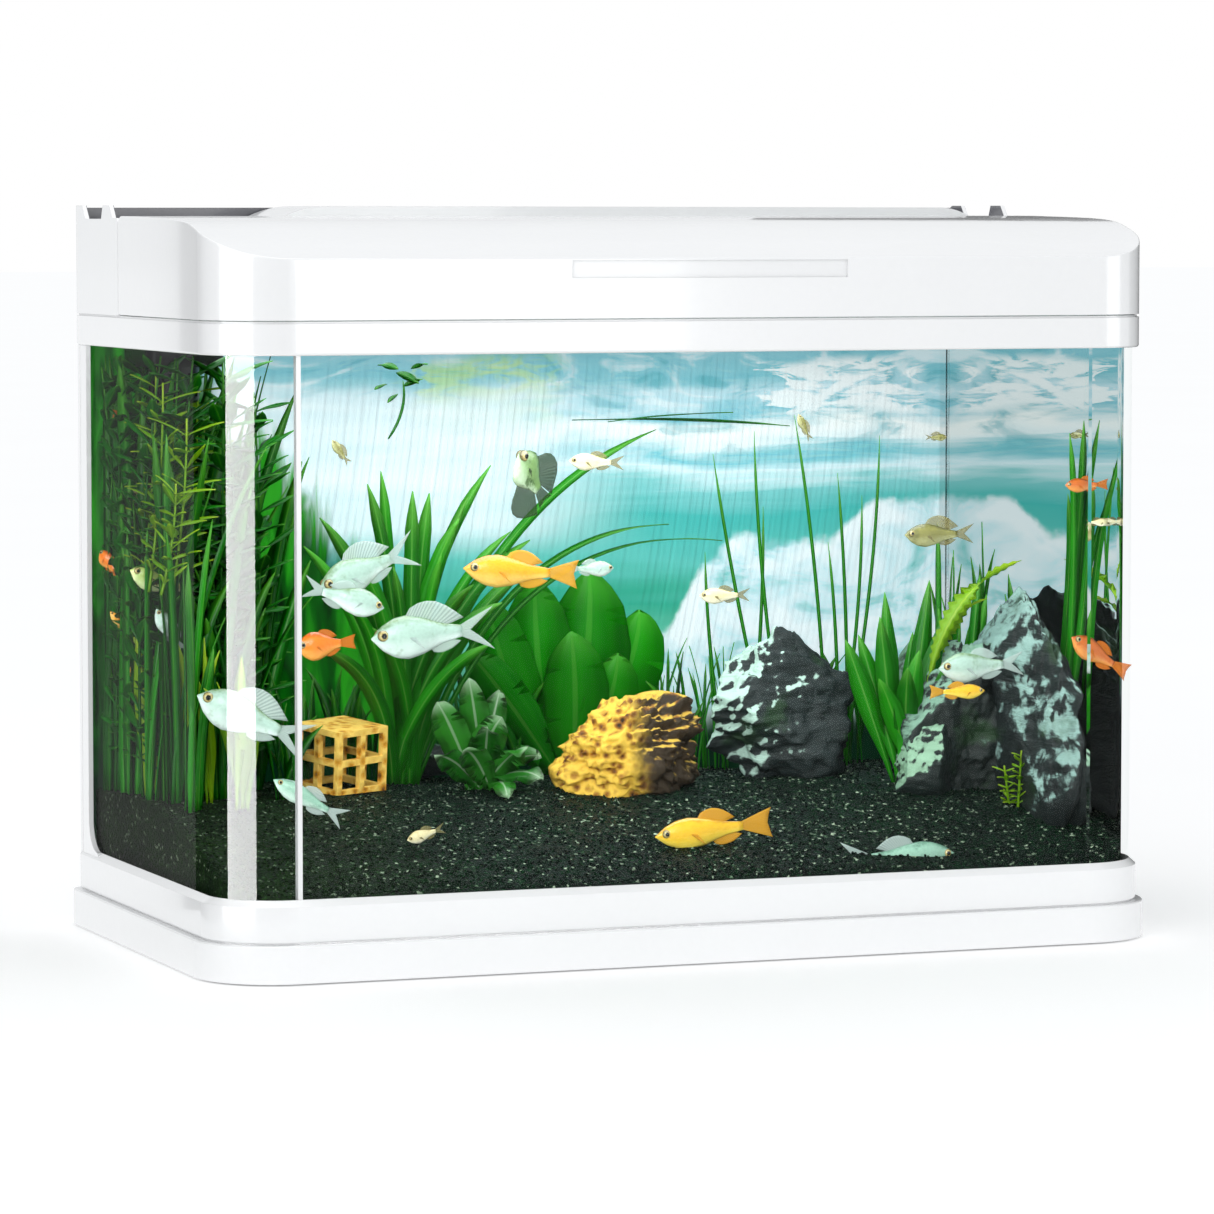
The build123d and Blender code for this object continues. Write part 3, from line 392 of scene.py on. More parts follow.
def picture_film():
    """Printed backdrop: rippled water over pale underwater hills, foliage haze and a dark bottom; the print
    glows as a painted backlight.
    """
    s = Shader("print_film")
    wander = s.noise(7.0, 3.0, 0.5)
    sway = s.around(wander, 0.035)
    x, _, z = s.xyz()
    z_warped = s.plus(z, sway)
    streaks = s.noise(1.0, 4.0, 0.6, s.scaled((7.0, 1.0, 95.0)), 0.4)
    curls = s.noise(1.0, 4.0, 0.55, s.scaled((22.0, 1.0, 60.0)), 1.2)
    level = s.math("DIVIDE", s.minus(z_warped, 0.04), 0.26)
    level = s.plus(level, s.around(streaks, 0.10))
    water = s.ramp(
        level, (0.0, rgb(0, 12, 8)), (0.13, rgb(3, 30, 16)), (0.20, rgb(14, 74, 36)),
        (0.27, rgb(60, 150, 110)), (0.35, rgb(112, 196, 172)), (0.46, rgb(52, 168, 142)),
        (0.56, rgb(96, 192, 184)), (0.64, rgb(70, 182, 178)), (0.70, rgb(126, 200, 202)),
        (0.74, rgb(222, 242, 250)), (0.77, rgb(122, 198, 210)), (0.80, rgb(236, 247, 252)),
        (0.83, rgb(250, 252, 253)), (0.86, rgb(132, 198, 214)), (0.90, rgb(196, 226, 238)),
        (0.94, rgb(128, 196, 210)), (1.0, rgb(150, 206, 222)))
    ripple = s.times(s.step(curls, 0.50, 0.70), s.step(z, 0.215, 0.275))
    water = s.mix(s.times(ripple, 0.75), water, rgb(236, 246, 252))
    teal = s.times(s.step(curls, 0.48, 0.32), s.step(z, 0.225, 0.265))
    water = s.mix(s.times(teal, 0.7), water, rgb(84, 172, 186))
    # green light from the leaves and a pale patch, both just under the surface
    torn = s.noise(1.0, 5.0, 0.65, s.scaled((34.0, 1.0, 110.0), (5.0, 0.0, 2.0)), 1.0)
    x_torn = s.plus(x, s.around(torn, 0.12))
    green = s.times(s.band(x_torn, -0.045, 0.005, 0.02), s.band(z_warped, 0.262, 0.292, 0.010))
    green = s.times(green, s.step(torn, 0.36, 0.56))
    water = s.mix(s.times(green, 0.8), water, s.mix(curls, rgb(120, 200, 120), rgb(232, 238, 176)))
    patch = s.times(s.band(x_torn, 0.150, 0.226, 0.006), s.band(z_warped, 0.264, 0.286, 0.006))
    patch = s.times(patch, s.step(torn, 0.40, 0.52))
    water = s.mix(s.times(patch, 0.9), water, rgb(250, 252, 255))
    # bright haze at the left of the middle
    haze = s.times(s.step(x, 0.075, -0.03), s.band(z_warped, 0.205, 0.268, 0.022))
    water = s.mix(s.times(haze, 0.9), water, s.mix(streaks, rgb(196, 226, 240), rgb(255, 255, 255)))
    # pale hills: their height along the picture
    along = s.math("DIVIDE", s.plus(x, 0.24), 0.48)
    height = s.ramp(along, (0.0, 0.05), (0.52, 0.07), (0.58, 0.125), (0.66, 0.145), (0.71, 0.178),
                    (0.75, 0.196), (0.86, 0.192), (0.93, 0.216), (1.0, 0.212), curve="EASE")
    lump = s.around(s.noise(26.0, 4.0, 0.6), 0.03)
    over = s.minus(s.plus(height, lump), z)
    hill = s.step(over, -0.003, 0.004)
    hill = s.times(hill, s.step(z, 0.086, 0.112))
    veil = s.noise(1.0, 4.0, 0.6, s.scaled((16.0, 1.0, 30.0), (3.0, 0.0, 1.0)), 0.8)
    snow = s.ramp(veil, (0.36, rgb(132, 200, 200)), (0.46, rgb(206, 234, 243)), (0.58, rgb(240, 248, 254)))
    picture = s.mix(hill, water, snow)
    # leaf haze at the left, out of focus
    blades = s.noise(1.0, 3.0, 0.6, s.scaled((85.0, 1.0, 16.0)), 0.6)
    leafy = s.ramp(blades, (0.36, rgb(1, 26, 3)), (0.50, rgb(4, 88, 8)), (0.66, rgb(38, 150, 24)))
    line = s.plus(s.times(x, -1.15), s.around(blades, 0.10))
    left = s.step(s.minus(line, s.times(z, 0.95)), -0.075, -0.045)
    picture = s.mix(left, picture, leafy)
    low = s.step(s.plus(z, s.around(blades, 0.03)), 0.108, 0.080)
    picture = s.mix(low, picture, s.mix(blades, rgb(0, 14, 9), rgb(6, 48, 22)))
    behind = s.math("GREATER_THAN", s.normal()[1], 0.5)
    paper = s.mix(s.noise(300.0, 4.0), (0.62, 0.63, 0.64), (0.70, 0.71, 0.72))
    tone = s.mix(behind, picture, paper)
    # painted light: the print's front glows by itself as if lit from behind, though the film is no lamp
    glow = s.mix(behind, picture, (0.0, 0.0, 0.0))
    dots = s.noise(500.0, 3.0)
    return s.surface(Base_Color=tone, Roughness=0.35, Emission_Color=glow, Emission_Strength=0.72,
                     Normal=s.bump(dots, 0.00003, 0.3))


def led_glow():
    """Lit chips: a yellowish face that gives white light."""
    s = Shader("led_chips")
    grid = s.cells(700.0, randomness=0.2)
    tone = s.ramp(grid, (0.1, (1.0, 0.93, 0.55)), (0.6, (0.95, 0.86, 0.42)))
    return s.surface(Base_Color=tone, Roughness=0.4, Emission_Color=(0.92, 0.97, 1.0),
                     Emission_Strength=6.0, Normal=s.bump(grid, 0.0001, 0.4))


def circuit_board():
    """White board with copper lanes along x."""
    s = Shader("led_board")
    lanes = s.math("SINE", s.times(s.xyz()[1], 1400.0))
    copper = s.step(lanes, 0.80, 0.92)
    weave = s.noise(900.0, 2.0)
    tone = s.mix(copper, s.mix(weave, (0.62, 0.64, 0.63), (0.74, 0.76, 0.75)), (0.72, 0.60, 0.36))
    return s.surface(Base_Color=tone, Roughness=0.45, Normal=s.bump(copper, 0.00004, 0.5))


pane_nodes = ("front_glass", "rear_glass", "left_side_glass", "right_side_glass")
dress(glass("clear_glass"), "front_glass", "rear_glass", "floor_glass",
      "front_seam_right", "rear_seals")
dress(glass("clear_glass_left", -1.0, True), "left_side_glass")
dress(glass("clear_glass_right", 1.0), "right_side_glass")
dress(translucent("clear_silicone", (0.86, 0.9, 0.88), 0.85, 0.25), "floor_seal")
dress(translucent("clear_acrylic", (0.93, 0.95, 0.95), 0.65, 0.12), "light_lens")
dress(picture_film(), "background_film")
dress(rubber, "foot_pads")
dress(mat_foam, "levelling_mat")
dress(steel, "base_screws", "light_screws", "hinge_pins", "impeller_shaft")
dress(lamp_metal, "light_housing")
dress(circuit_board(), "led_board")
dress(led_glow(), "led_chips")
dress(grey, "base_plate", "spray_bar", "riser_pipe", "filter_tray", "flow_knob")
dress(black, "pump_body", "pump_cover", "intake_strainer", "impeller")
dress(porous("sponge", (0.003, 0.01, 0.02), (0.02, 0.07, 0.12), 0.0022, 0.0008), "filter_sponge")
dress(porous("fleece", (0.62, 0.62, 0.6), (0.86, 0.86, 0.84), 0.0009, 0.0004), "filter_fleece")
dress(rough_solid("ceramic", (0.55, 0.50, 0.42), (0.78, 0.74, 0.66), 700.0, 0.85, 0.0003), "ceramic_rings")

# ---------------------------------------------------------------- floor, world and lights
make_world()
make_floor()
base_parts = [nodes[n] for n in ("stand_plinth", "bottom_frame")]
plastic_parts = base_parts + [nodes[n] for n in (
    "top_frame", "rear_post_left", "rear_post_right", "lid_shell", "rear_housing", "filter_cover",
    "front_seam_left")]
pane_parts = [nodes[n] for n in pane_nodes]

area_light("key", (-1.9, -2.2, 1.2), (-0.1, 0, 0.2), (1.2, 1.2), 16.0)
only_for(area_light("overhead", (-0.1, 0.0, 2.2), (0, 0, 0.3), (1.8, 1.2), 11.0), plastic_parts)
# softboxes of which only the reflection counts: a tall one beside the left front corner, for the panes and
# weaker for the plastic, and two for the plastic of the front and of the right corner
corner_box = ((-0.428, -0.1715, 0.302), (-0.236, -0.1164, 0.302), (0.216, 0.596))
for name, place, aim, size, power, parts in (
        ("shine_pane", *corner_box, 7.0, pane_parts),
        ("shine_shell", *corner_box, 1.2, plastic_parts),
        ("shine_front", (0.21, -1.13, 0.33), (0.02, -0.13, 0.33), (0.34, 0.34), 1.0, plastic_parts),
        ("shine_right", (0.64, -0.41, 0.33), (0.23, -0.12, 0.33), (0.24, 0.40), 0.7, plastic_parts)):
    lamp = area_light(name, place, aim, size, power)
    lamp.visible_diffuse = False
    only_for(lamp, parts)
only_for(area_light("low_front", (0.5, -2.4, 0.35), (0.0, -0.13, 0.02), (0.8, 0.3), 5.5), base_parts)


def dark_card(name, start, end, top):
    """An upright black card that only reflections see, so that the panes stay clear."""
    (ax, ay), (bx, by) = start, end
    foot = 0.004
    mesh = bpy.data.meshes.new(name)
    mesh.from_pydata([(ax, ay, foot), (bx, by, foot), (bx, by, top), (ax, ay, top)], [], [(0, 1, 2, 3)])
    card = link(name, mesh)
    s = Shader(name)
    felt = s.mix(s.noise(40.0), (0.004, 0.004, 0.004), (0.008, 0.008, 0.008))
    mesh.materials.append(s.finish(s.shader("Diffuse", Color=felt)))
    card.visible_camera = card.visible_diffuse = card.visible_shadow = card.visible_transmission = False


dark_card("card_right", (0.55, -0.10), (0.45, 0.9), 0.50)
dark_card("card_front", (-0.179, -0.362), (-0.396, -0.280), 0.62)
dark_card("card_left", (-0.463, -0.065), (-0.31, 0.14), 0.62)


# ---------------------------------------------------------------- building pieces
MM = 0.001


def make_piece(name, verts, faces, materials, slot="ornament", face_materials=None, smooth=True):
    """A mesh piece that rides on the tank. Vertices are in millimetres."""
    mesh = bpy.data.meshes.new(name)
    mesh.from_pydata([(x * MM, y * MM, z * MM) for x, y, z in verts], [], faces)
    for material in materials:
        mesh.materials.append(material)
    if face_materials:
        mesh.polygons.foreach_set("material_index", face_materials)
    mesh.polygons.foreach_set("use_smooth", [smooth] * len(faces))
    mesh.update()
    piece = link(name, mesh)
    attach(piece, "tank")
    return piece


def paint_points(piece, name, values):
    """Three values per vertex, which the piece's material reads."""
    layer = piece.data.color_attributes.new(name, "FLOAT_COLOR", "POINT")
    layer.data.foreach_set("color", [part for row in values for part in (*row, 1.0)])


def lerp(a, b, t):
    return a + (b - a) * t


def table_value(table, at):
    """Straight-line value between the rows of a (place, value) table."""
    if at <= table[0][0]:
        return table[0][1]
    for (p0, v0), (p1, v1) in zip(table, table[1:]):
        if at <= p1:
            return lerp(v0, v1, (at - p0) / (p1 - p0))
    return table[-1][1]


# ---------------------------------------------------------------- gravel
bed_profile = [(-122.5, 41.5), (-80, 55.0), (-30, 67.0), (20, 73.5), (60, 74.0), (122.5, 71.0)]
bed_half_x = 242.2
bed_front = -122.2
bed_rear = 122.2
bed_corner = 29.6
bed_bottom = 31.5


def bed_height(x, y):
    swell = noise.noise(Vector((x * 0.012, y * 0.016, 3.1))) * 2.6
    small = noise.noise(Vector((x * 0.07, y * 0.07, 7.7))) * 1.1
    return table_value(bed_profile, y) + swell + small


def inside_bed(x, y, inset=0.0):
    """Pulls a point into the rounded footprint of the gravel."""
    half = bed_half_x - inset
    x = max(-half, min(half, x))
    y = max(bed_front + inset, min(bed_rear - inset, y))
    cx = bed_half_x - bed_corner
    cy = bed_front + bed_corner
    if y < cy and abs(x) > cx:
        away = Vector((abs(x) - cx, y - cy))
        if away.length > bed_corner - inset:
            away = away.normalized() * (bed_corner - inset)
            x = math.copysign(cx + away.x, x)
            y = cy + away.y
    return x, y


def gravel_material():
    s = Shader("gravel")
    grain, tint = s.cells(720.0), s.cells(720.0, "Color")
    pick = s.xyz(tint)[0]
    tone = s.ramp(pick, (0.0, rgb(0, 5, 3)), (0.45, rgb(3, 19, 11)), (0.80, rgb(8, 34, 19)),
                  (0.955, rgb(18, 50, 28)), (0.965, rgb(84, 108, 84)), (1.0, rgb(176, 192, 168)))
    mossy = s.times(s.step(s.xyz()[0], -0.09, -0.22), 0.55)
    tone = s.mix(mossy, tone, s.mix(pick, rgb(8, 20, 6), rgb(36, 56, 18)))
    shade = s.noise(30.0, 3.0)
    tone = s.mix(s.ramp(shade, (0.35, 0.45), (0.65, 0.0)), tone, rgb(2, 9, 8))
    rough = s.remap(pick, 0.0, 1.0, 0.45, 0.8)
    return s.surface(Base_Color=tone, Roughness=rough, Specular_IOR_Level=0.12,
                     Normal=s.bump(s.minus(1.0, grain), 0.0008, 0.8))


def bed_block(columns, rows, inset, height, bottom):
    """A closed block in the gravel's footprint: top by height(x, y), flat underside at bottom."""
    verts, faces = [], []
    wide, front, rear = bed_half_x - inset, bed_front + inset, bed_rear - inset
    for j in range(rows + 1):
        for i in range(columns + 1):
            x, y = inside_bed(lerp(-wide, wide, i / columns), lerp(front, rear, j / rows), inset)
            verts.append((x, y, height(x, y)))
    under = len(verts)
    verts += [(x, y, bottom) for x, y, _ in verts]
    row = columns + 1
    for j in range(rows):
        for i in range(columns):
            a = j * row + i
            faces.append((a, a + 1, a + row + 1, a + row))
            faces.append((under + a, under + a + row, under + a + row + 1, under + a + 1))
    rim = list(range(row))
    rim += [j * row + columns for j in range(1, rows + 1)]
    rim += [rows * row + i for i in range(columns - 1, -1, -1)]
    rim += [j * row for j in range(rows - 1, 0, -1)]
    for a, b in zip(rim, rim[1:] + rim[:1]):
        faces.append((a, under + a, under + b, b))
    return verts, faces


def clean_up(piece, thinnest=None):
    """Joins the corners that fall together, and turns all the faces outwards."""
    clean = bmesh.new()
    clean.from_mesh(piece.data)
    bmesh.ops.remove_doubles(clean, verts=clean.verts, dist=0.00001)
    if thinnest:
        bmesh.ops.dissolve_degenerate(clean, edges=clean.edges, dist=thinnest)
    bmesh.ops.recalc_face_normals(clean, faces=clean.faces)
    clean.to_mesh(piece.data)
    clean.free()


def make_gravel():
    bed = make_piece("gravel_visual", *bed_block(150, 76, 0.0, bed_height, bed_bottom), [gravel], "gravel")
    clean_up(bed, 0.000005)
    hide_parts("gravel_bed")


def unit_ball(detail):
    ball = bmesh.new()
    bmesh.ops.create_icosphere(ball, subdivisions=detail, radius=1.0)
    verts = [v.co.copy() for v in ball.verts]
    faces = [tuple(v.index for v in f.verts) for f in ball.faces]
    ball.free()
    return verts, faces


grain_count = 11000


def make_grains():
    """Single grains lying on the bed, so that its surface isn't smooth."""
    draw = random.Random(11)
    ball, ball_faces = unit_ball(1)
    verts, faces = [], []
    for _ in range(grain_count):
        # more grains towards the front, where they are seen closer
        depth = draw.random() ** 1.5
        x, y = inside_bed(draw.uniform(-241, 241), lerp(bed_front + 1, bed_rear - 1, depth), 1.2)
        size = draw.uniform(0.5, 1.05)
        stretch = Vector((draw.uniform(0.7, 1.3), draw.uniform(0.7, 1.3), draw.uniform(0.6, 1.0))) * size
        angle = draw.uniform(0, 6.28)
        turn = Matrix.Rotation(angle, 3, Vector((draw.random(), draw.random(), 1)).normalized())
        place = Vector((x, y, bed_height(x, y) + 0.25 * size))
        start = len(verts)
        for v in ball:
            knob = 1 + draw.uniform(-0.14, 0.14)
            verts.append(tuple(place + turn @ (v * stretch) * knob))
        faces += [tuple(start + k for k in f) for f in ball_faces]
    make_piece("gravel_grains", verts, faces, [gravel], "gravel", smooth=False)


# ---------------------------------------------------------------- stones
def slate_material(name, dark, mid, pale, pale_amount, lit_left_share=-0.35):
    """Dark layered rock with pale crusts, pushed onto its upper and left faces as a painted highlight where
    the lamps fall.
    """
    s = Shader(name)
    rough_noise = s.noise(120.0, 6.0, 0.7)
    lines = s.noise(1.0, 5.0, 0.65, s.scaled((45.0, 45.0, 170.0), (0.3, 1.7, 0.0)), 1.2)
    blotch = s.noise(38.0, 5.0, 0.68, distortion=0.6)
    tone = s.mix(rough_noise, dark, mid)
    up = s.normal()
    # painted highlight: the pale crust is laid more on faces that look up and to the left, where the lamps
    # fall
    lean = s.plus(s.times(up[2], 0.5), s.times(up[0], lit_left_share))
    cover = s.plus(s.plus(lean, blotch), s.times(lines, 0.35))
    crust_and_light = s.step(cover, 1.28 - pale_amount, 1.42 - pale_amount)
    tone = s.mix(crust_and_light, tone, s.mix(lines, tuple(c * 0.45 for c in pale), pale))
    moss = s.times(s.step(s.noise(22.0, 4.0, 0.6), 0.56, 0.66), 0.55)
    tone = s.mix(moss, tone, rgb(22, 62, 18))
    height = s.plus(s.times(lines, 0.7), s.times(rough_noise, 0.5))
    return s.surface(Base_Color=tone, Roughness=0.62, Normal=s.bump(height, 0.0022, 1.0))


def ochre_material(name, dark, mid, pale, shade_from=None):
    """Porous ochre stone; right of the given x, in metres, painted shade turns it dark brown, except on its
    upward faces.
    """
    s = Shader(name)
    pits = s.cells(190.0)
    cloud = s.noise(60.0, 6.0, 0.7)
    value = s.plus(s.times(pits, 0.55), s.times(cloud, 0.75))
    tone = s.ramp(value, (0.34, dark), (0.50, mid), (0.68, pale))
    if shade_from is not None:
        # painted shade: the part right of the given x is darkened to brown; faces that look up are mostly
        # spared
        painted_shade = s.step(s.plus(s.xyz()[0], s.times(cloud, 0.03)), shade_from + 0.008, shade_from + 0.024)
        top = s.step(s.normal()[2], 0.45, 0.75)
        painted_shade = s.times(painted_shade, s.minus(1.0, s.times(top, 0.8)))
        tone = s.mix(painted_shade, tone, s.mix(cloud, rgb(14, 10, 2), rgb(62, 42, 12)))
    height = s.plus(cloud, s.times(pits, 0.8))
    return s.surface(Base_Color=tone, Roughness=0.75, Normal=s.bump(height, 0.0012, 0.9))


def boulder(name, node, seed, cuts, material, slot="stone_grey", crag=1.0, detail=6, clip=(0.55, 0.9),
            peak=(0, 0), boxy=1.0, taper=0.28, room=None):
    """A faceted boulder in the CAD stone's box or in its own room: cut planes, layers, crags of noise."""
    low, high = [Vector(c) for c in room] if room else [Vector(c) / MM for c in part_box(node)]
    middle = (low + high) / 2
    half = (high - low) / 2
    draw = random.Random(seed)
    planes = []
    for _ in range(cuts):
        way = Vector((draw.gauss(0, 1), draw.gauss(0, 1), draw.gauss(0.15, 0.8))).normalized()
        planes.append((way, draw.uniform(*clip)))
    ball, faces = unit_ball(detail)
    verts = []
    shift = Vector((seed * 1.7, seed * 0.9, seed * 2.3))
    for v in ball:
        squared = Vector([math.copysign(abs(c) ** boxy, c) for c in v]).length
        reach = 1.25 * squared
        for way, far in planes:
            facing = way.dot(v)
            if facing > 0.05:
                reach = min(reach, far * (0.6 + 0.4 * squared) / facing)
        p = v * reach
        layer = noise.noise(Vector((p.x * 1.2, p.y * 1.2, p.z * 9.0)) + shift)
        rough = noise.fractal(p * 2.6 + shift, 0.9, 2.1, 5)
        fine = noise.fractal(p * 9.0 + shift, 0.9, 2.1, 4)
        reach *= 1 + crag * (0.045 * layer + 0.085 * rough + 0.03 * fine)
        p = v * min(reach, 1.2 * squared)
        # wider towards the foot, with its peak moved aside
        flare = 1.0 - taper * p.z
        x = middle.x + half.x * (p.x * flare + peak[0] * max(p.z, 0) ** 1.5)
        y = middle.y + half.y * (p.y * flare + peak[1] * max(p.z, 0) ** 1.5)
        x, y = inside_bed(x, y, 1.5)
        verts.append((x, y, max(middle.z + half.z * p.z, bed_bottom + 1)))
    stone = make_piece(name, verts, faces, [material], slot)
    if node:
        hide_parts(node)


# ---------------------------------------------------------------- leaves
def leaf_material(name, dark, light, tip, glow):
    """Thin green leaf: veins along it, lighter and darker leaves, light through it."""
    s = Shader(name)
    along, across, each = s.painted("leaf")
    veins = s.math("SINE", s.times(across, 34.0))
    veins = s.times(s.plus(veins, 1.0), 0.5)
    blotch = s.noise(70.0, 4.0, 0.6)
    value = s.plus(s.times(each, 0.62), s.times(blotch, 0.45))
    tone = s.mix(value, dark, light)
    tone = s.mix(s.times(veins, 0.22), tone, light)
    midrib = s.band(across, 0.47, 0.53, 0.02)
    tone = s.mix(s.times(midrib, 0.4), tone, tip)
    tone = s.mix(s.times(s.step(along, 0.72, 1.0), 0.5), tone, tip)
    body = s.principled(Base_Color=tone, Roughness=0.35, Normal=s.bump(veins, 0.00015, 0.5))
    through = s.shader("Translucent", Color=tone)
    return s.finish(s.shaders(glow, body, through))


class Foliage:
    """Collects many leaves and stems into one mesh piece."""

    def __init__(self):
        self.verts, self.faces, self.paint = [], [], []

    def leaf(self, path, width, shape, fold=0.25, thick=0.35, side=(1, -0.25, 0.05), each=0.5, wave=0.0,
             teeth=0.0):
        """path: points from base to tip; width: widest, mm; shape: (place, share of width) table."""
        count = len(path)
        start = len(self.verts)
        side = Vector(side)
        for k, point in enumerate(path):
            t = k / (count - 1)
            p = Vector(point)
            ahead = Vector(path[min(k + 1, count - 1)]) - Vector(path[max(k - 1, 0)])
            ahead.normalize()
            out = (side - side.dot(ahead) * ahead).normalized()
            up = ahead.cross(out)
            half = max(width * table_value(shape, t) / 2, 0.15)
            if teeth and k % 2:
                half *= 1 - teeth
            ripple = wave * math.sin(t * 19 + start)
            drop = fold * half
            left = p - out * half - up * (drop - ripple)
            right = p + out * half - up * (drop + ripple)
            self.verts += [tuple(left), tuple(p + up * thick), tuple(right), tuple(p - up * thick * 0.6)]
            self.paint += [(t, 0, each), (t, 0.5, each), (t, 1, each), (t, 0.5, each)]
        for k in range(count - 1):
            a = start + 4 * k
            for m in range(4):
                n = (m + 1) % 4
                self.faces.append((a + m, a + 4 + m, a + 4 + n, a + n))
        self.faces.append((start, start + 1, start + 2, start + 3))
        end = start + 4 * (count - 1)
        self.faces.append((end + 3, end + 2, end + 1, end))

    def blade(self, base, tip, width, bend=(0, 0, 0), steps=16, **more):
        """One long leaf on a bent curve between base and tip."""
        a, c = Vector(base), Vector(tip)
        b = (a + c) / 2 + Vector(bend)
        path = []
        for k in range(steps + 1):
            t = k / steps
            path.append(a * (1 - t) ** 2 + b * 2 * t * (1 - t) + c * t * t)
        self.leaf(path, width, **more)
        return path

    def rooted(self, x, y, tip, width, bend=(0, 0, 0), steps=16, **more):
        """A blade that comes out of the gravel."""
        return self.blade((x, y, ground(x, y)), tip, width, bend, steps, **more)

    def make(self, name, material):
        paint_points(make_piece(name, self.verts, self.faces, [material]), "leaf", self.paint)


strap = [(0, 0.5), (0.1, 0.9), (0.5, 1.0), (0.85, 0.8), (1, 0.08)]
lance = [(0, 0.12), (0.12, 0.25), (0.4, 0.95), (0.6, 1.0), (0.85, 0.5), (1, 0.03)]
oval = [(0, 0.1), (0.12, 0.55), (0.35, 0.95), (0.6, 1.0), (0.8, 0.78), (0.93, 0.42), (1, 0.05)]


def ground(x, y):
    return bed_height(x, y) - 1.5


# how far leaf tips may reach, mm: half width, front, back, top
tuft_reach = (237, -114, 118, 298)
stem_reach = (239, -117, 119, 300)


def held_in(room, x, y, z):
    wide, front, back, top = room
    return max(-wide, min(wide, x)), max(front, min(back, y)), min(z, top)


def tuft(bunch, draw, centre, count, reach, height, width, lean=(0, 0), steps=14, shape=strap, fold=0.25):
    """A clump of blades that fan out from one crown."""
    cx, cy = centre
    for _ in range(count):
        angle = draw.uniform(0, 2 * math.pi)
        far = reach * draw.uniform(0.25, 1.0)
        tall = height * draw.uniform(0.55, 1.0)
        bx, by = cx + draw.uniform(-6, 6), cy + draw.uniform(-5, 5)
        tx, ty, tz = held_in(tuft_reach, bx + far * math.cos(angle) + lean[0] * tall,
                             by + far * math.sin(angle) * 0.6 + lean[1] * tall, ground(bx, by) + tall)
        bend = (-(tx - bx) * 0.35, -(ty - by) * 0.35, draw.uniform(0.05, 0.2) * tall)
        bunch.rooted(bx, by, (tx, ty, tz), width * draw.uniform(0.6, 1.1), bend, steps,
                    shape=shape, fold=fold, each=draw.random(),
                    side=(draw.uniform(-1, 1), draw.uniform(-1, 1), 0.1))


def leafy_stem(bunch, draw, base, tip, leaf_length, leaf_width, pairs, bend=(0, 0, 0)):
    """An upright stem with leaves all the way up, as on a bushy stem plant."""
    path = bunch.blade(base, tip, 1.6, bend, 20, shape=[(0, 1), (1, 0.6)], fold=0.0, thick=0.7, each=0.3)
    for k in range(pairs):
        t = 0.12 + 0.88 * k / pairs
        p = path[int(t * 20)]
        spin = k * 1.9 + draw.uniform(-0.4, 0.4)
        for turn in (0, math.pi):
            way = Vector((math.cos(spin + turn), math.sin(spin + turn) * 0.8, draw.uniform(0.1, 0.7)))
            size = leaf_length * draw.uniform(0.7, 1.15)
            end = held_in(stem_reach, *(p + way.normalized() * size))
            bunch.blade(p, end, leaf_width * draw.uniform(0.7, 1.1), (0, 0, size * 0.12), 7, shape=lance,
                        each=draw.random(), side=(-way.y, way.x, 0.1))


# ---------------------------------------------------------------- planting
def plant_left_thicket():
    """Straps, bushy stems and bright shoots that fill the left end."""
    draw = random.Random(21)
    dark = Foliage()
    # tall straps that rise to the surface all along the left end
    straps_at = (
        (-234, 114, 16, 262), (-212, 114, 16, 262), (-190, 112, 10, 236), (-228, 104, 16, 250),
        (-205, 100, 16, 245), (-180, 100, 12, 225), (-228, 70, 12, 235), (-200, 70, 12, 215),
        (-172, 76, 8, 190), (-226, 30, 9, 200), (-196, 36, 7, 175))
    for x, y, count, tall in straps_at:
        tuft(dark, draw, (x, y), count, 42, tall, 8.5, lean=(0.06, 0), steps=18)
    dark.make("plant_straps_left", leaf_deep)
    bushy = Foliage()
    stems_at = (
        (-236, 56, 299), (-226, 48, 297), (-214, 46, 299), (-202, 48, 296), (-190, 54, 298),
        (-178, 60, 280), (-238, 100, 298), (-228, 96, 299), (-214, 94, 298), (-202, 98, 299),
        (-234, 112, 292), (-220, 108, 286), (-205, 112, 292), (-190, 108, 268), (-234, 84, 262),
        (-214, 84, 240), (-226, 58, 214), (-200, 60, 196), (-182, 84, 210), (-165, 96, 178))
    for x, y, top in stems_at:
        leafy_stem(bushy, draw, (x, y, ground(x, y)), (x + draw.uniform(-8, 10), y - 4, top), 26, 8.5, 26,
                   (draw.uniform(-12, 12), 0, 0))
    bushy.make("plant_bush_left", leaf_dark)
    straps = Foliage()
    for x, y, count, tall in ((-234, 40, 7, 190), (-232, 84, 8, 216), (-222, 8, 6, 150), (-208, 64, 7, 200)):
        tuft(straps, draw, (x, y), count, 34, tall, 7.5, lean=(0.05, 0), steps=18)
    straps.make("plant_straps_bright", leaf_green)
    bright = Foliage()
    shoots_at = (
        (-214, 98, 276), (-196, 104, 262), (-232, 50, 238), (-204, 88, 290), (-226, 78, 262),
        (-238, 36, 286), (-228, 28, 268), (-238, 14, 236), (-234, 62, 294))
    for x, y, top in shoots_at:
        leafy_stem(bright, draw, (x, y, 180), (x + 8, y, top), 20, 5.5, 9, (4, 0, 0))
    for x, y in ((-229, 66), (-213, 22), (-200, 6)):
        tuft(bright, draw, (x, y), 6, 24, 88, 11, shape=lance, fold=0.3)
    bright.make("plant_bright_left", leaf_lime)


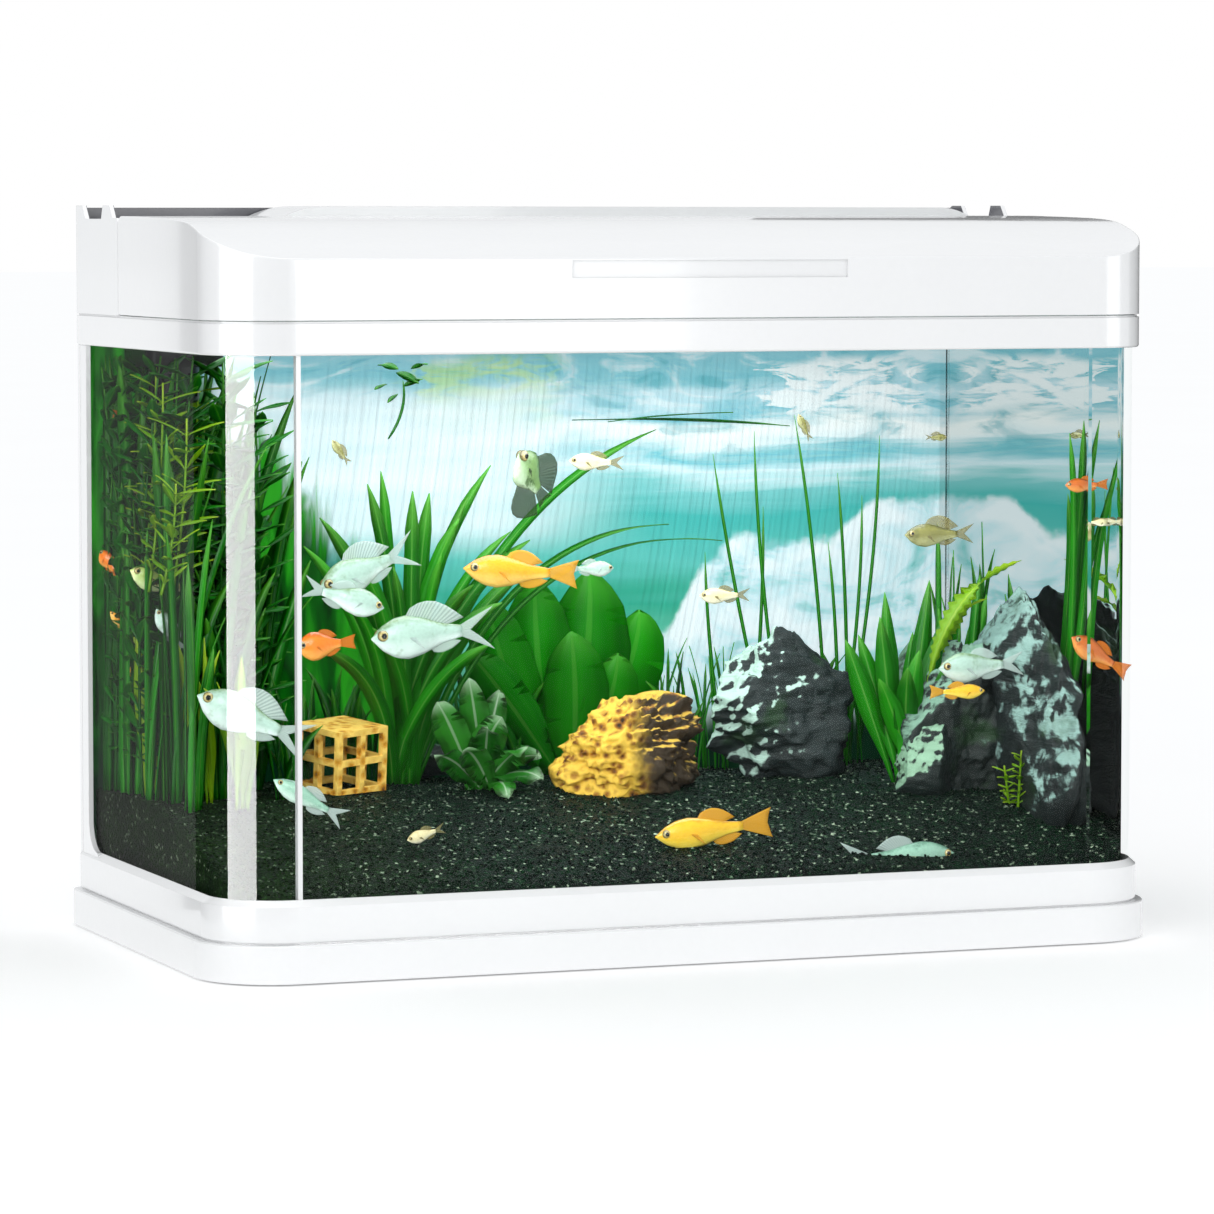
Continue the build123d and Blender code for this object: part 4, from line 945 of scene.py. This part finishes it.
def plant_fan():
    """Long blades that fan out from a crown at the left of the middle."""
    draw = random.Random(5)
    fan = Foliage()
    crown = (-92, 66)
    tips = (
        (-128, 196, 40), (-140, 178, 30), (-116, 232, 52), (-104, 238, 66), (-92, 228, 50), (-78, 226, 64),
        (-70, 214, 40), (-58, 224, 60), (-44, 240, 64), (-38, 206, 50), (-30, 188, 44), (-150, 150, 26),
        (-124, 160, 20), (-66, 180, 30), (-48, 170, 36), (-108, 190, 34), (-84, 196, 28), (-20, 200, 70),
        (-60, 150, 20), (-136, 214, 70), (-148, 200, 60))
    for x, z, y in tips:
        base = (crown[0] + draw.uniform(-8, 8), crown[1] + draw.uniform(-6, 6))
        bend = ((crown[0] - x) * 0.32, 0, 22 + draw.uniform(0, 14))
        fan.rooted(*base, (x, y, z), draw.uniform(6, 9.5), bend, 18, shape=strap,
                  each=draw.random(), side=(1, -0.4, draw.uniform(-0.5, 0.5)))
    # two that reach the surface and lie along it
    fan.rooted(-90, 70, (52, 72, 257), 5.5, (-38, 0, 52), 24, shape=strap, each=0.8)
    fan.rooted(-84, 76, (64, 84, 206), 4.0, (-30, 0, 66), 24, shape=strap, each=0.3)
    fan.rooted(-80, 80, (98, 92, 196), 3.0, (-36, 0, 78), 24, shape=strap, each=0.2)
    fan.make("plant_fan", leaf_green)
    raft = Foliage()
    raft.blade((2, 66, 263), (128, 70, 258), 6.0, (0, 0, 3), 20, shape=lance, fold=0.1, each=0.4)
    raft.blade((20, 60, 262), (92, 62, 266), 5.0, (0, 0, 2), 14, shape=lance, fold=0.1, each=0.7)
    raft.blade((-112, 30, 256), (-104, 30, 286), 1.6, (7, 0, 0), 8, shape=strap, each=0.6)
    leaflets = (
        (-119, 294, 10, -0.2), (-109, 290, 11, -0.5), (-105, 283, 9, 0.4), (-114, 284, -8, 0.3),
        (-101, 292, 8, 0.3), (-108, 279, -7, 0.6))
    for x, z, size, slant in leaflets:
        raft.blade((x, 26, z), (x + size, 22, z + size * slant), abs(size) * 0.4, (0, 0, 2), 8, shape=oval,
                   each=0.4)
    raft.make("plant_floating", leaf_dark)


def plant_broad():
    """Large broad leaves with light behind them, at the back of the middle."""
    draw = random.Random(9)
    broad = Foliage()
    leaves = (
        ((2, 104), (-36, 92, 168), 34, (-14, -4, 16)), ((6, 106), (-8, 96, 178), 40, (-8, -6, 12)),
        ((12, 104), (22, 94, 182), 46, (8, -6, 10)), ((20, 106), (50, 92, 160), 36, (18, -4, 16)),
        ((8, 100), (-48, 88, 140), 26, (-12, -4, 20)), ((14, 98), (8, 84, 150), 36, (2, -6, 6)),
        ((18, 98), (34, 82, 138), 30, (8, -6, 8)))
    for base, tip, width, bend in leaves:
        broad.rooted(*base, tip, width, bend, 20, shape=oval, fold=0.16, each=draw.random(),
                    side=(1, -0.2, 0.0), wave=0.8)
    broad.make("plant_broad", leaf_bright)


def plant_stems():
    """Thin bare stems behind the middle rock."""
    thin = Foliage()
    stems = (
        (118, 66, 82, 244, -6), (124, 62, 104, 256, -8), (148, 64, 128, 264, 6), (152, 60, 146, 196, 4),
        (156, 70, 170, 220, 8), (160, 74, 182, 252, 10), (100, 92, 88, 190, -5), (166, 80, 160, 232, 4),
        (112, 88, 120, 214, 5))
    for x0, y, x1, z1, sway in stems:
        thin.rooted(x0, y, (x1, y, z1), 2.0, (sway, 0, 8), 22, shape=strap, fold=0.1, each=0.3)
    draw = random.Random(31)
    for x, y in ((60, 104), (74, 108), (88, 106), (102, 110), (44, 110)):
        tuft(thin, draw, (x, y), 8, 18, 74, 2.2)
    thin.make("plant_stems", leaf_green)


def plant_right():
    """Broad blades, serrated leaves and grass between the stones at the right."""
    draw = random.Random(14)
    lances = Foliage()
    crown = (166, 4)
    blades_to = (
        (132, 148, 4, 12), (142, 150, 10, 11), (150, 160, 0, 12), (170, 142, -6, 13), (158, 172, 12, 10),
        (182, 178, 8, 11), (190, 160, 4, 11), (146, 128, -8, 12), (176, 150, 16, 10), (160, 134, -14, 13),
        (186, 136, -8, 10))
    for x, z, y, wide in blades_to:
        base = (crown[0] + draw.uniform(-6, 6), crown[1] + draw.uniform(-5, 5))
        lances.rooted(*base, (x, y, z), wide, ((x - crown[0]) * 0.15, 0, 16), 16, shape=lance,
                     fold=0.35, each=draw.random(), side=(1, -0.3, draw.uniform(-0.4, 0.4)))
    lances.make("plant_lances_right", leaf_green)
    serrated = Foliage()
    serrated.blade((178, 2, 120), (230, -4, 188), 13, (-16, 0, 22), 34, shape=lance, fold=0.2, each=0.7,
                   side=(0.7, -0.2, 0.6), teeth=0.42)
    serrated.blade((180, 4, 118), (212, 0, 168), 11, (-14, 0, 16), 30, shape=lance, fold=0.2, each=0.5,
                   side=(0.8, -0.2, 0.5), teeth=0.42)
    serrated.make("plant_serrated", leaf_lime)
    edge = Foliage()
    for x, y, top, wide in ((238, -62, 264, 5), (226, -70, 258, 4), (236, -76, 236, 5), (230, -60, 226, 4)):
        edge.blade((238, y + 26, 120), (x, y, top), wide, (6, 0, 20), 16, shape=strap, each=draw.random())
    tuft(edge, draw, (226, 60), 8, 22, 120, 6)
    tuft(edge, draw, (232, 96), 8, 22, 150, 6)
    edge.make("plant_edge_right", leaf_green)
    sprig = Foliage()
    leafy_stem(sprig, draw, (207, -50, ground(207, -50)), (208, -52, 92), 8, 3.6, 9)
    leafy_stem(sprig, draw, (204, -46, ground(204, -46)), (200, -48, 84), 7, 3.2, 7)
    sprig.make("plant_sprig", leaf_lime)


def plant_pale():
    """Low plant with wavy pale-edged leaves beside the fan."""
    draw = random.Random(17)
    low = Foliage()
    crown = (-62, 34)
    leaves_to = (
        (-86, 120, 30, 18), (-70, 132, 26, 16), (-54, 112, 20, 18), (-42, 96, 14, 17), (-36, 80, 8, 15),
        (-58, 72, 0, 14), (-78, 96, 12, 16), (-90, 92, 22, 15), (-48, 124, 40, 14), (-66, 108, 8, 15),
        (-30, 90, 26, 12))
    for x, z, y, wide in leaves_to:
        base = (crown[0] + draw.uniform(-7, 7), crown[1] + draw.uniform(-5, 5))
        low.rooted(*base, (x, y, z), wide, ((x - crown[0]) * 0.2, -4, 14), 16, shape=oval,
                  fold=0.3, each=draw.random(), side=(1, -0.3, draw.uniform(-0.5, 0.5)), wave=1.6)
    low.make("plant_pale", leaf_pale)
    shrubs = Foliage()
    shrubs_at = (
        (-118, 84, 10), (-100, 92, 10), (-152, 58, 9), (-168, 30, 8), (-46, 96, 9), (-22, 100, 8),
        (150, 92, 8), (176, 96, 8), (196, 60, 8), (64, 76, 6))
    for x, y, count in shrubs_at:
        tuft(shrubs, draw, (x, y), count, 26, 66, 7, shape=lance)
    shrubs.make("plant_shrubs", leaf_dark)


# ---------------------------------------------------------------- fish
def fish_skin(name, back, flank, belly, spot=0.0):
    """Scaled skin: darker along the back, pale below, with a sheen."""
    s = Shader(name)
    height = s.painted("skin")
    scales = s.cells(620.0)
    cloud = s.noise(140.0, 4.0, 0.6)
    level = s.plus(height[0], s.around(cloud, 0.35))
    tone = s.ramp(level, (0.12, belly), (0.45, flank), (0.80, flank), (0.97, back))
    tone = s.mix(s.times(s.step(cloud, 0.56, 0.66), spot), tone, back)
    tone = s.mix(s.times(scales, 0.35), tone, tuple(min(c * 1.5 + 0.02, 1) for c in flank))
    return s.surface(Base_Color=tone, Roughness=0.32, Coat_Weight=0.4, Coat_Roughness=0.15,
                     Normal=s.bump(scales, 0.0002, 0.6))


def fin_skin(name, colour, clear_part):
    """Thin ray-finned membrane."""
    s = Shader(name)
    fan = s.painted("skin")
    rays = s.times(s.plus(s.math("SINE", s.times(fan[1], 95.0)), 1.0), 0.5)
    tone = s.mix(rays, tuple(c * 0.86 for c in colour), colour)
    body = s.principled(Base_Color=tone, Roughness=0.4, Normal=s.bump(rays, 0.00012, 0.6))
    through = s.shader("Translucent", Color=tone)
    solid = s.shaders(0.4, body, through)
    gap = s.times(s.minus(1.0, s.times(rays, 0.25)), clear_part)
    clear = s.shader("Transparent")
    return s.finish(s.shaders(gap, solid, clear))


def eye_skin():
    s = Shader("fish_eye")
    ring = s.painted("skin")[0]
    tone = s.ramp(ring, (0.45, rgb(4, 4, 5)), (0.62, rgb(200, 180, 120)), (1.0, rgb(90, 80, 50)))
    return s.surface(Base_Color=tone, Roughness=0.1, Coat_Weight=1.0, Coat_Roughness=0.03)


# body depth from nose to tail root: (place, share of the greatest depth)
slim = [(0, 0.03), (0.04, 0.20), (0.12, 0.55), (0.26, 0.90), (0.40, 1.0), (0.58, 0.82), (0.78, 0.46),
        (1, 0.27)]
deep = [(0, 0.05), (0.06, 0.32), (0.16, 0.70), (0.32, 1.0), (0.48, 0.98), (0.66, 0.72), (0.84, 0.38),
        (1, 0.27)]


class Fish:
    """One fish, built nose at +x in its own millimetres and then put in place."""

    rings, sides = 18, 14
    body_share = 0.74

    def __init__(self, length, form, depth, width, bend):
        self.length, self.form, self.depth, self.width, self.bend = length, form, depth, width, bend
        self.verts, self.faces, self.kinds, self.paint = [], [], [], []

    def spine(self, t):
        """Place of the backbone at share t from the nose: a gentle sideways curve."""
        return Vector((self.length / 2 - t * self.length, self.bend * self.length * t * t, 0))

    def half(self, t):
        return table_value(self.form, min(t / self.body_share, 1.0)) * self.depth * self.length / 2

    def body(self):
        start = len(self.verts)
        for k in range(self.rings + 1):
            t = self.body_share * (k / self.rings) ** 1.15
            middle = self.spine(t)
            tall = self.half(t)
            wide = tall * self.width * (1.0 if t < 0.45 else lerp(1.0, 0.45, (t - 0.45) / 0.29))
            for m in range(self.sides):
                turn = 2 * math.pi * m / self.sides
                up = math.sin(turn)
                belly = 1.1 if up < 0 else 0.95
                self.verts.append((middle.x, middle.y + wide * math.cos(turn), tall * up * belly))
                self.paint.append((0.5 + 0.5 * up, t, 0))
        for k in range(self.rings):
            for m in range(self.sides):
                n = (m + 1) % self.sides
                a, b = start + k * self.sides, start + (k + 1) * self.sides
                self.add((a + m, a + n, b + n, b + m), 0)
        self.add(tuple(start + m for m in reversed(range(self.sides))), 0)
        end = start + self.rings * self.sides
        self.add(tuple(end + m for m in range(self.sides)), 0)

    def add(self, face, kind):
        self.faces.append(face)
        self.kinds.append(kind)

    def fin(self, roots, tips, side=0.0, ripple=0.04, steps=5):
        """A membrane from a row of root points to a row of tip points; side leans it out sideways."""
        thick = 0.12
        start = len(self.verts)
        across = len(roots)
        for layer in (1, -1):
            for i in range(across):
                root, tip = Vector(roots[i]), Vector(tips[i])
                for k in range(steps + 1):
                    t = k / steps
                    p = root.lerp(tip, t)
                    wave = math.sin(i * 1.3 + t * 3.0) * ripple * (tip - root).length * t
                    p.y += wave + side * (tip - root).length * t + layer * thick * (1 - 0.8 * t)
                    self.verts.append(tuple(p))
                    self.paint.append((0.5, i / (across - 1), t))
        span = steps + 1
        back = start + across * span
        for i in range(across - 1):
            for k in range(steps):
                a = start + i * span + k
                self.add((a, a + 1, a + span + 1, a + span), 1)
                b = back + i * span + k
                self.add((b, b + span, b + span + 1, b + 1), 1)
        for i in range(across - 1):
            a, b = start + i * span, back + i * span
            self.add((a, a + span, b + span, b), 1)
            self.add((a + steps, b + steps, b + span + steps, a + span + steps), 1)
        for i in (0, across - 1):
            for k in range(steps):
                a, b = start + i * span + k, back + i * span + k
                quad = (a, b, b + 1, a + 1)
                self.add(quad if i == 0 else quad[::-1], 1)

    def tail(self, spread, reach, fork):
        """Tail fin: spread and reach as shares of the length; fork pulls its middle in."""
        root_t = 0.73
        hold = self.half(root_t) * 0.9
        roots, tips = [], []
        for i in range(9):
            u = i / 8 * 2 - 1
            root = self.spine(root_t)
            roots.append((root.x, root.y, hold * u))
            out = reach * (1 - fork * (1 - abs(u)) ** 1.2)
            far = self.spine(root_t + out)
            tips.append((far.x, far.y, spread * self.length / 2 * u))
        self.fin(roots, tips)

    def edge_fin(self, t0, t1, height, sweep, side, points=7):
        """Dorsal (side 1) or anal (side -1) fin between two places along the body."""
        roots, tips = [], []
        for i in range(points):
            u = i / (points - 1)
            t = lerp(t0, t1, u)
            middle = self.spine(t)
            edge = self.half(t) * (0.95 if side > 0 else 1.1) * 0.85 * side
            rise = height * self.length * math.sin(math.pi * (0.18 + 0.72 * u)) * side
            roots.append((middle.x, middle.y, edge))
            tips.append((middle.x - sweep * self.length * (0.5 + u), middle.y, edge + rise))
        self.fin(roots, tips)

    def side_fins(self, t, size):
        for out in (1, -1):
            middle = self.spine(t)
            wide = self.half(t) * self.width * 0.85
            roots, tips = [], []
            for i in range(5):
                u = i / 4
                roots.append((middle.x - u * 0.02 * self.length, middle.y + out * wide, -u * 0.5 - 0.3))
                tips.append((middle.x - size * self.length * (0.6 + 0.5 * u), middle.y + out * wide,
                             -size * self.length * lerp(0.1, 0.9, u)))
            self.fin(roots, tips, side=out * 0.45)

    def eyes(self):
        t = 0.085
        middle = self.spine(t)
        radius = max(0.036 * self.length * self.depth / 0.26, 0.5)
        wide = self.half(t) * self.width * 0.80
        ball, ball_faces = unit_ball(2)
        for out in (1, -1):
            start = len(self.verts)
            for v in ball:
                self.verts.append((middle.x + v.x * radius, middle.y + out * wide + v.y * radius * 0.75,
                                   self.half(t) * 0.22 + v.z * radius))
                self.paint.append((math.sqrt(v.x * v.x + v.z * v.z), 0, 0))
            for f in ball_faces:
                self.add(tuple(start + k for k in f), 2)

    def place(self, name, at, yaw, pitch, materials):
        turn = Matrix.Rotation(math.radians(yaw), 3, "Z") @ Matrix.Rotation(math.radians(-pitch), 3, "Y")
        spot = Vector(at)
        verts = [tuple(spot + turn @ Vector(v)) for v in self.verts]
        piece = make_piece(name, verts, self.faces, materials, face_materials=self.kinds)
        paint_points(piece, "skin", self.paint)


def add_fish(name, kind, at, length, yaw, pitch):
    """yaw 0 swims to the right, 180 to the left; pitch is nose up."""
    skin_name, fin_name, form, depth, tail, dorsal = fish_kinds[kind]
    fish = Fish(length, form, depth, 0.52, 0.06)
    fish.body()
    fish.tail(*tail)
    fish.edge_fin(*dorsal, 1)
    fish.edge_fin(0.48, 0.66, 0.07, 0.05, -1)
    fish.side_fins(0.26, 0.11)
    fish.eyes()
    fish.place(name, at, yaw, pitch, [skin[skin_name], fin[fin_name], fish_eye])


def make_fish():
    # name, kind, place of the middle, length, yaw, pitch
    shoal = (
        ("fish_gold_large", "gold", (-58, -20, 190), 62, 180, 4),
        ("fish_silver_far", "silver", (-12, 2, 189), 26, 0, 0),
        ("fish_silver_a", "veil", (-154, -60, 196), 56, 190, -20),
        ("fish_silver_b", "silver", (-170, -72, 183), 44, 0, -16),
        ("fish_silver_c", "veil", (-120, -60, 163), 64, 182, -4),
        ("fish_silver_d", "veil", (-213, -60, 123), 60, 168, 24),
        ("fish_silver_e", "silver", (181, -60, 138), 49, 182, -2),
        ("fish_silver_f", "pale", (-190, -80, 84), 42, 170, 30),
        ("fish_pale_low", "pale", (114, -106, 46), 66, 4, 0),
        ("fish_cream_low", "cream", (-130, -80, 65), 22, 190, -14),
        ("fish_cream_high", "cream", (-9, 0, 244), 30, 175, 3),
        ("fish_orange", "orange", (-175, -60, 159), 31, 182, -4),
        ("fish_yellow_low", "yellow", (21, -86, 62), 64, 182, -5),
        ("fish_yellow_right", "yellow", (162, -72, 126), 31, 0, 0),
        ("fish_yellow_left", "yellow", (-222, 92, 140), 34, 150, -38),
        ("fish_brown_right", "amber", (228, -102, 145), 40, 190, 30),
        ("fish_brown_high", "amber", (228, -86, 232), 25, 184, 0),
        ("fish_brown_mid", "olive", (175, -20, 204), 41, 184, 0),
        ("fish_brown_left", "amber", (-228, 104, 268), 20, 10, 0),
        ("fish_brown_far", "cream", (54, -20, 175), 28, 176, 0),
        ("fish_lime_high", "lime", (-224, 74, 227), 24, 4, 0),
        ("fish_lime_mid", "lime", (-226, 48, 184), 40, 184, 20),
        ("fish_lime_low", "silver", (-228, 30, 160), 28, 150, 56),
        ("fish_orange_left", "orange", (-238, 108, 190), 18, 130, 50),
        ("fish_gold_left", "gold", (-236, 96, 160), 16, 160, 50),
        ("fish_small_high", "olive", (-141, 20, 250), 17, 200, 50),
        ("fish_small_top", "olive", (115, 20, 259), 17, 200, 60),
        ("fish_small_right", "cream", (238, -78, 212), 14, 8, 0),
        ("fish_small_far", "olive", (200, 40, 252), 13, 0, 0),
        ("fish_small_low", "lime", (30, 92, 119), 28, 184, 0),
    )
    for name, kind, at, length, yaw, pitch in shoal:
        add_fish(name, kind, at, length, yaw, pitch)
    # deep-bodied fish with long fins
    angel = Fish(34, deep, 0.66, 0.22, 0.02)
    angel.body()
    angel.tail(0.34, 0.26, 0.2)
    angel.edge_fin(0.30, 0.70, 0.42, 0.20, 1)
    angel.edge_fin(0.34, 0.70, 0.46, 0.22, -1)
    angel.side_fins(0.26, 0.12)
    angel.eyes()
    angel.place("fish_tall", (-30, 40, 234), 210, 52, [skin["dark"], fin["dark"], fish_eye])


# ---------------------------------------------------------------- water
def water_material():
    s = Shader("water")
    geo = s.node("NewGeometry")
    up = s.step(s.xyz(geo.outputs["True Normal"])[2], 0.3, 0.6)
    outside = s.minus(1.0, geo.outputs["Backfacing"])
    gleam = s.node("Fresnel", IOR=1.33).outputs[0]
    lit = s.node("LightPath").outputs["Is Shadow Ray"]
    fac = s.times(s.times(gleam, outside), up)
    fac = s.times(fac, s.minus(1.0, lit))
    cloud = s.noise(9.0, 3.0)
    clear = s.shader("Transparent", Color=s.mix(cloud, (0.975, 0.995, 0.99), (0.985, 0.998, 0.995)))
    shine = s.shader("Glossy", Color=(1, 1, 1), Roughness=0.02)
    return s.finish(s.shaders(fac, clear, shine))


def make_water():
    """The water: sides just inside the glass and a rippled top, just above the frame's lower edge."""
    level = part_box("top_frame")[0][2] / MM + 1.2
    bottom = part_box("floor_glass")[1][2] / MM + 4.5

    def surface(x, y):
        return level + noise.fractal(Vector((x * 0.03, y * 0.05, 0.4)), 1.0, 2.0, 3) * 0.7

    water = make_piece("water", *bed_block(96, 50, 0.1, surface, bottom), [water_material()], "clear_glass")
    clean_up(water)


gravel = gravel_material()
leaf_deep = leaf_material("leaf_deep", rgb(0, 34, 2), rgb(14, 142, 8), rgb(104, 190, 34), 0.5)
leaf_dark = leaf_material("leaf_dark", rgb(0, 34, 3), rgb(16, 134, 10), rgb(92, 178, 34), 0.45)
leaf_green = leaf_material("leaf_green", rgb(0, 84, 6), rgb(48, 182, 24), rgb(140, 218, 90), 0.55)
leaf_bright = leaf_material("leaf_bright", rgb(4, 150, 6), rgb(52, 204, 26), rgb(130, 226, 90), 0.75)
leaf_lime = leaf_material("leaf_lime", rgb(84, 156, 8), rgb(160, 204, 24), rgb(214, 230, 60), 0.5)
leaf_pale = leaf_material("leaf_pale", rgb(4, 96, 12), rgb(60, 156, 44), rgb(216, 236, 208), 0.45)
fish_eye = eye_skin()
skin = {}
for name, back, flank, belly, spot in (
        ("gold", (206, 104, 6), (246, 158, 14), (252, 206, 110), 0.0),
        ("orange", (190, 74, 4), (236, 118, 10), (246, 170, 80), 0.0),
        ("yellow", (190, 130, 10), (232, 176, 20), (244, 214, 90), 0.0),
        ("silver", (96, 124, 70), (164, 190, 178), (222, 234, 230), 0.3),
        ("pale", (70, 112, 92), (140, 180, 160), (210, 228, 218), 0.4),
        ("cream", (176, 150, 96), (222, 206, 160), (244, 238, 214), 0.2),
        ("amber", (120, 50, 6), (196, 96, 20), (226, 150, 70), 0.4),
        ("olive", (60, 62, 30), (126, 122, 66), (180, 178, 130), 0.5),
        ("lime", (84, 116, 36), (160, 180, 90), (214, 224, 170), 0.3),
        ("dark", (30, 60, 14), (110, 140, 84), (190, 210, 180), 0.8)):
    skin[name] = fish_skin("skin_" + name, rgb(*back), rgb(*flank), rgb(*belly), spot)
fin = {}
for name, colour, clear_part in (
        ("gold", (250, 190, 60), 0.35), ("orange", (240, 140, 40), 0.35), ("silver", (222, 236, 232), 0.55),
        ("dull", (170, 160, 110), 0.55), ("dark", (60, 84, 40), 0.5)):
    fin[name] = fin_skin("fin_" + name, rgb(*colour), clear_part)
molly_tail, fork_tail, veil_tail = (0.24, 0.25, 0.15), (0.26, 0.24, 0.55), (0.34, 0.27, 0.70)
plain_dorsal, sail_dorsal = (0.36, 0.58, 0.09, 0.07), (0.28, 0.62, 0.14, 0.10)
# kind: skin, fins, form, depth as a share of the length, tail, dorsal fin
fish_kinds = {
    "gold": ("gold", "gold", slim, 0.27, molly_tail, plain_dorsal),
    "orange": ("orange", "orange", deep, 0.46, molly_tail, plain_dorsal),
    "yellow": ("yellow", "gold", slim, 0.25, molly_tail, plain_dorsal),
    "silver": ("silver", "silver", slim, 0.32, fork_tail, plain_dorsal),
    "veil": ("silver", "silver", slim, 0.34, veil_tail, sail_dorsal),
    "pale": ("pale", "silver", slim, 0.24, fork_tail, plain_dorsal),
    "cream": ("cream", "dull", slim, 0.30, fork_tail, plain_dorsal),
    "amber": ("amber", "orange", slim, 0.30, molly_tail, plain_dorsal),
    "olive": ("olive", "dull", slim, 0.30, fork_tail, sail_dorsal),
    "lime": ("lime", "dull", slim, 0.34, fork_tail, sail_dorsal),
}

make_gravel()
make_grains()
slate = slate_material("slate", rgb(1, 8, 10), rgb(18, 36, 36), rgb(190, 222, 208), 0.22, -0.75)
slate_top = slate_material("slate_top", rgb(1, 8, 10), rgb(16, 36, 32), rgb(150, 190, 160), 0.28)
slate_dark = slate_material("slate_dark", rgb(0, 5, 7), rgb(10, 26, 26), rgb(150, 184, 176), 0.20)
slate_low = slate_material("slate_low", rgb(0, 5, 7), rgb(14, 32, 28), rgb(132, 172, 150), 0.24)
ochre = ochre_material("ochre", rgb(24, 13, 2), rgb(140, 86, 6), rgb(226, 182, 64), 0.012)
boulder("stone_centre", "rock_centre", 3, 16, slate, crag=1.3, peak=(-0.25, 0))
boulder("stone_left", "rock_left", 8, 12, slate_top, detail=5)
boulder("stone_right_back", "rock_right_back", 27, 14, slate_dark, crag=0.9, clip=(0.8, 1.05),
        peak=(0.2, -0.2), boxy=0.55, taper=0.1)
boulder("stone_right_low", None, 31, 14, slate_low, crag=1.2, clip=(0.8, 1.05), peak=(0.2, 0), boxy=0.6,
        taper=0.15, room=((168, -22, 58), (226, 42, 146)))
boulder("stone_right_front", "rock_right_front", 5, 14, slate_top, crag=1.2, boxy=0.75)
boulder("stone_crumbly", "crumbly_stone", 7, 12, ochre, "stone_ochre", crag=2.2, clip=(0.92, 1.1),
        peak=(0.15, 0), boxy=0.4, taper=0.02)
dress(ochre_material("ochre_cube", rgb(110, 62, 4), rgb(206, 138, 22), rgb(240, 196, 92)), "shelter_cube")
plant_left_thicket()
plant_fan()
plant_broad()
plant_stems()
plant_right()
plant_pale()
make_fish()
make_water()

inner_things = [o for o in bpy.data.objects if o.name.startswith(("plant_", "fish_", "stone_", "gravel_"))]
inner_things += [nodes["background_film"], nodes["shelter_cube"]]
for name, place, aim, size, power, colour in (
        ("fill_inside", (-0.75, -1.7, 0.75), (0, 0, 0.15), (0.9, 0.7), 22.0, (1, 1, 1)),
        ("fill_left", (-1.5, -0.75, 0.55), (-0.23, 0.03, 0.2), (0.6, 0.5), 9.0, (1, 1, 1)),
        ("hood_glow", (0, -0.02, 0.3), (0, -0.02, 0), (0.40, 0.16), 0.9, (0.93, 0.98, 1.0))):
    only_for(area_light(name, place, aim, size, power, colour), inner_things)
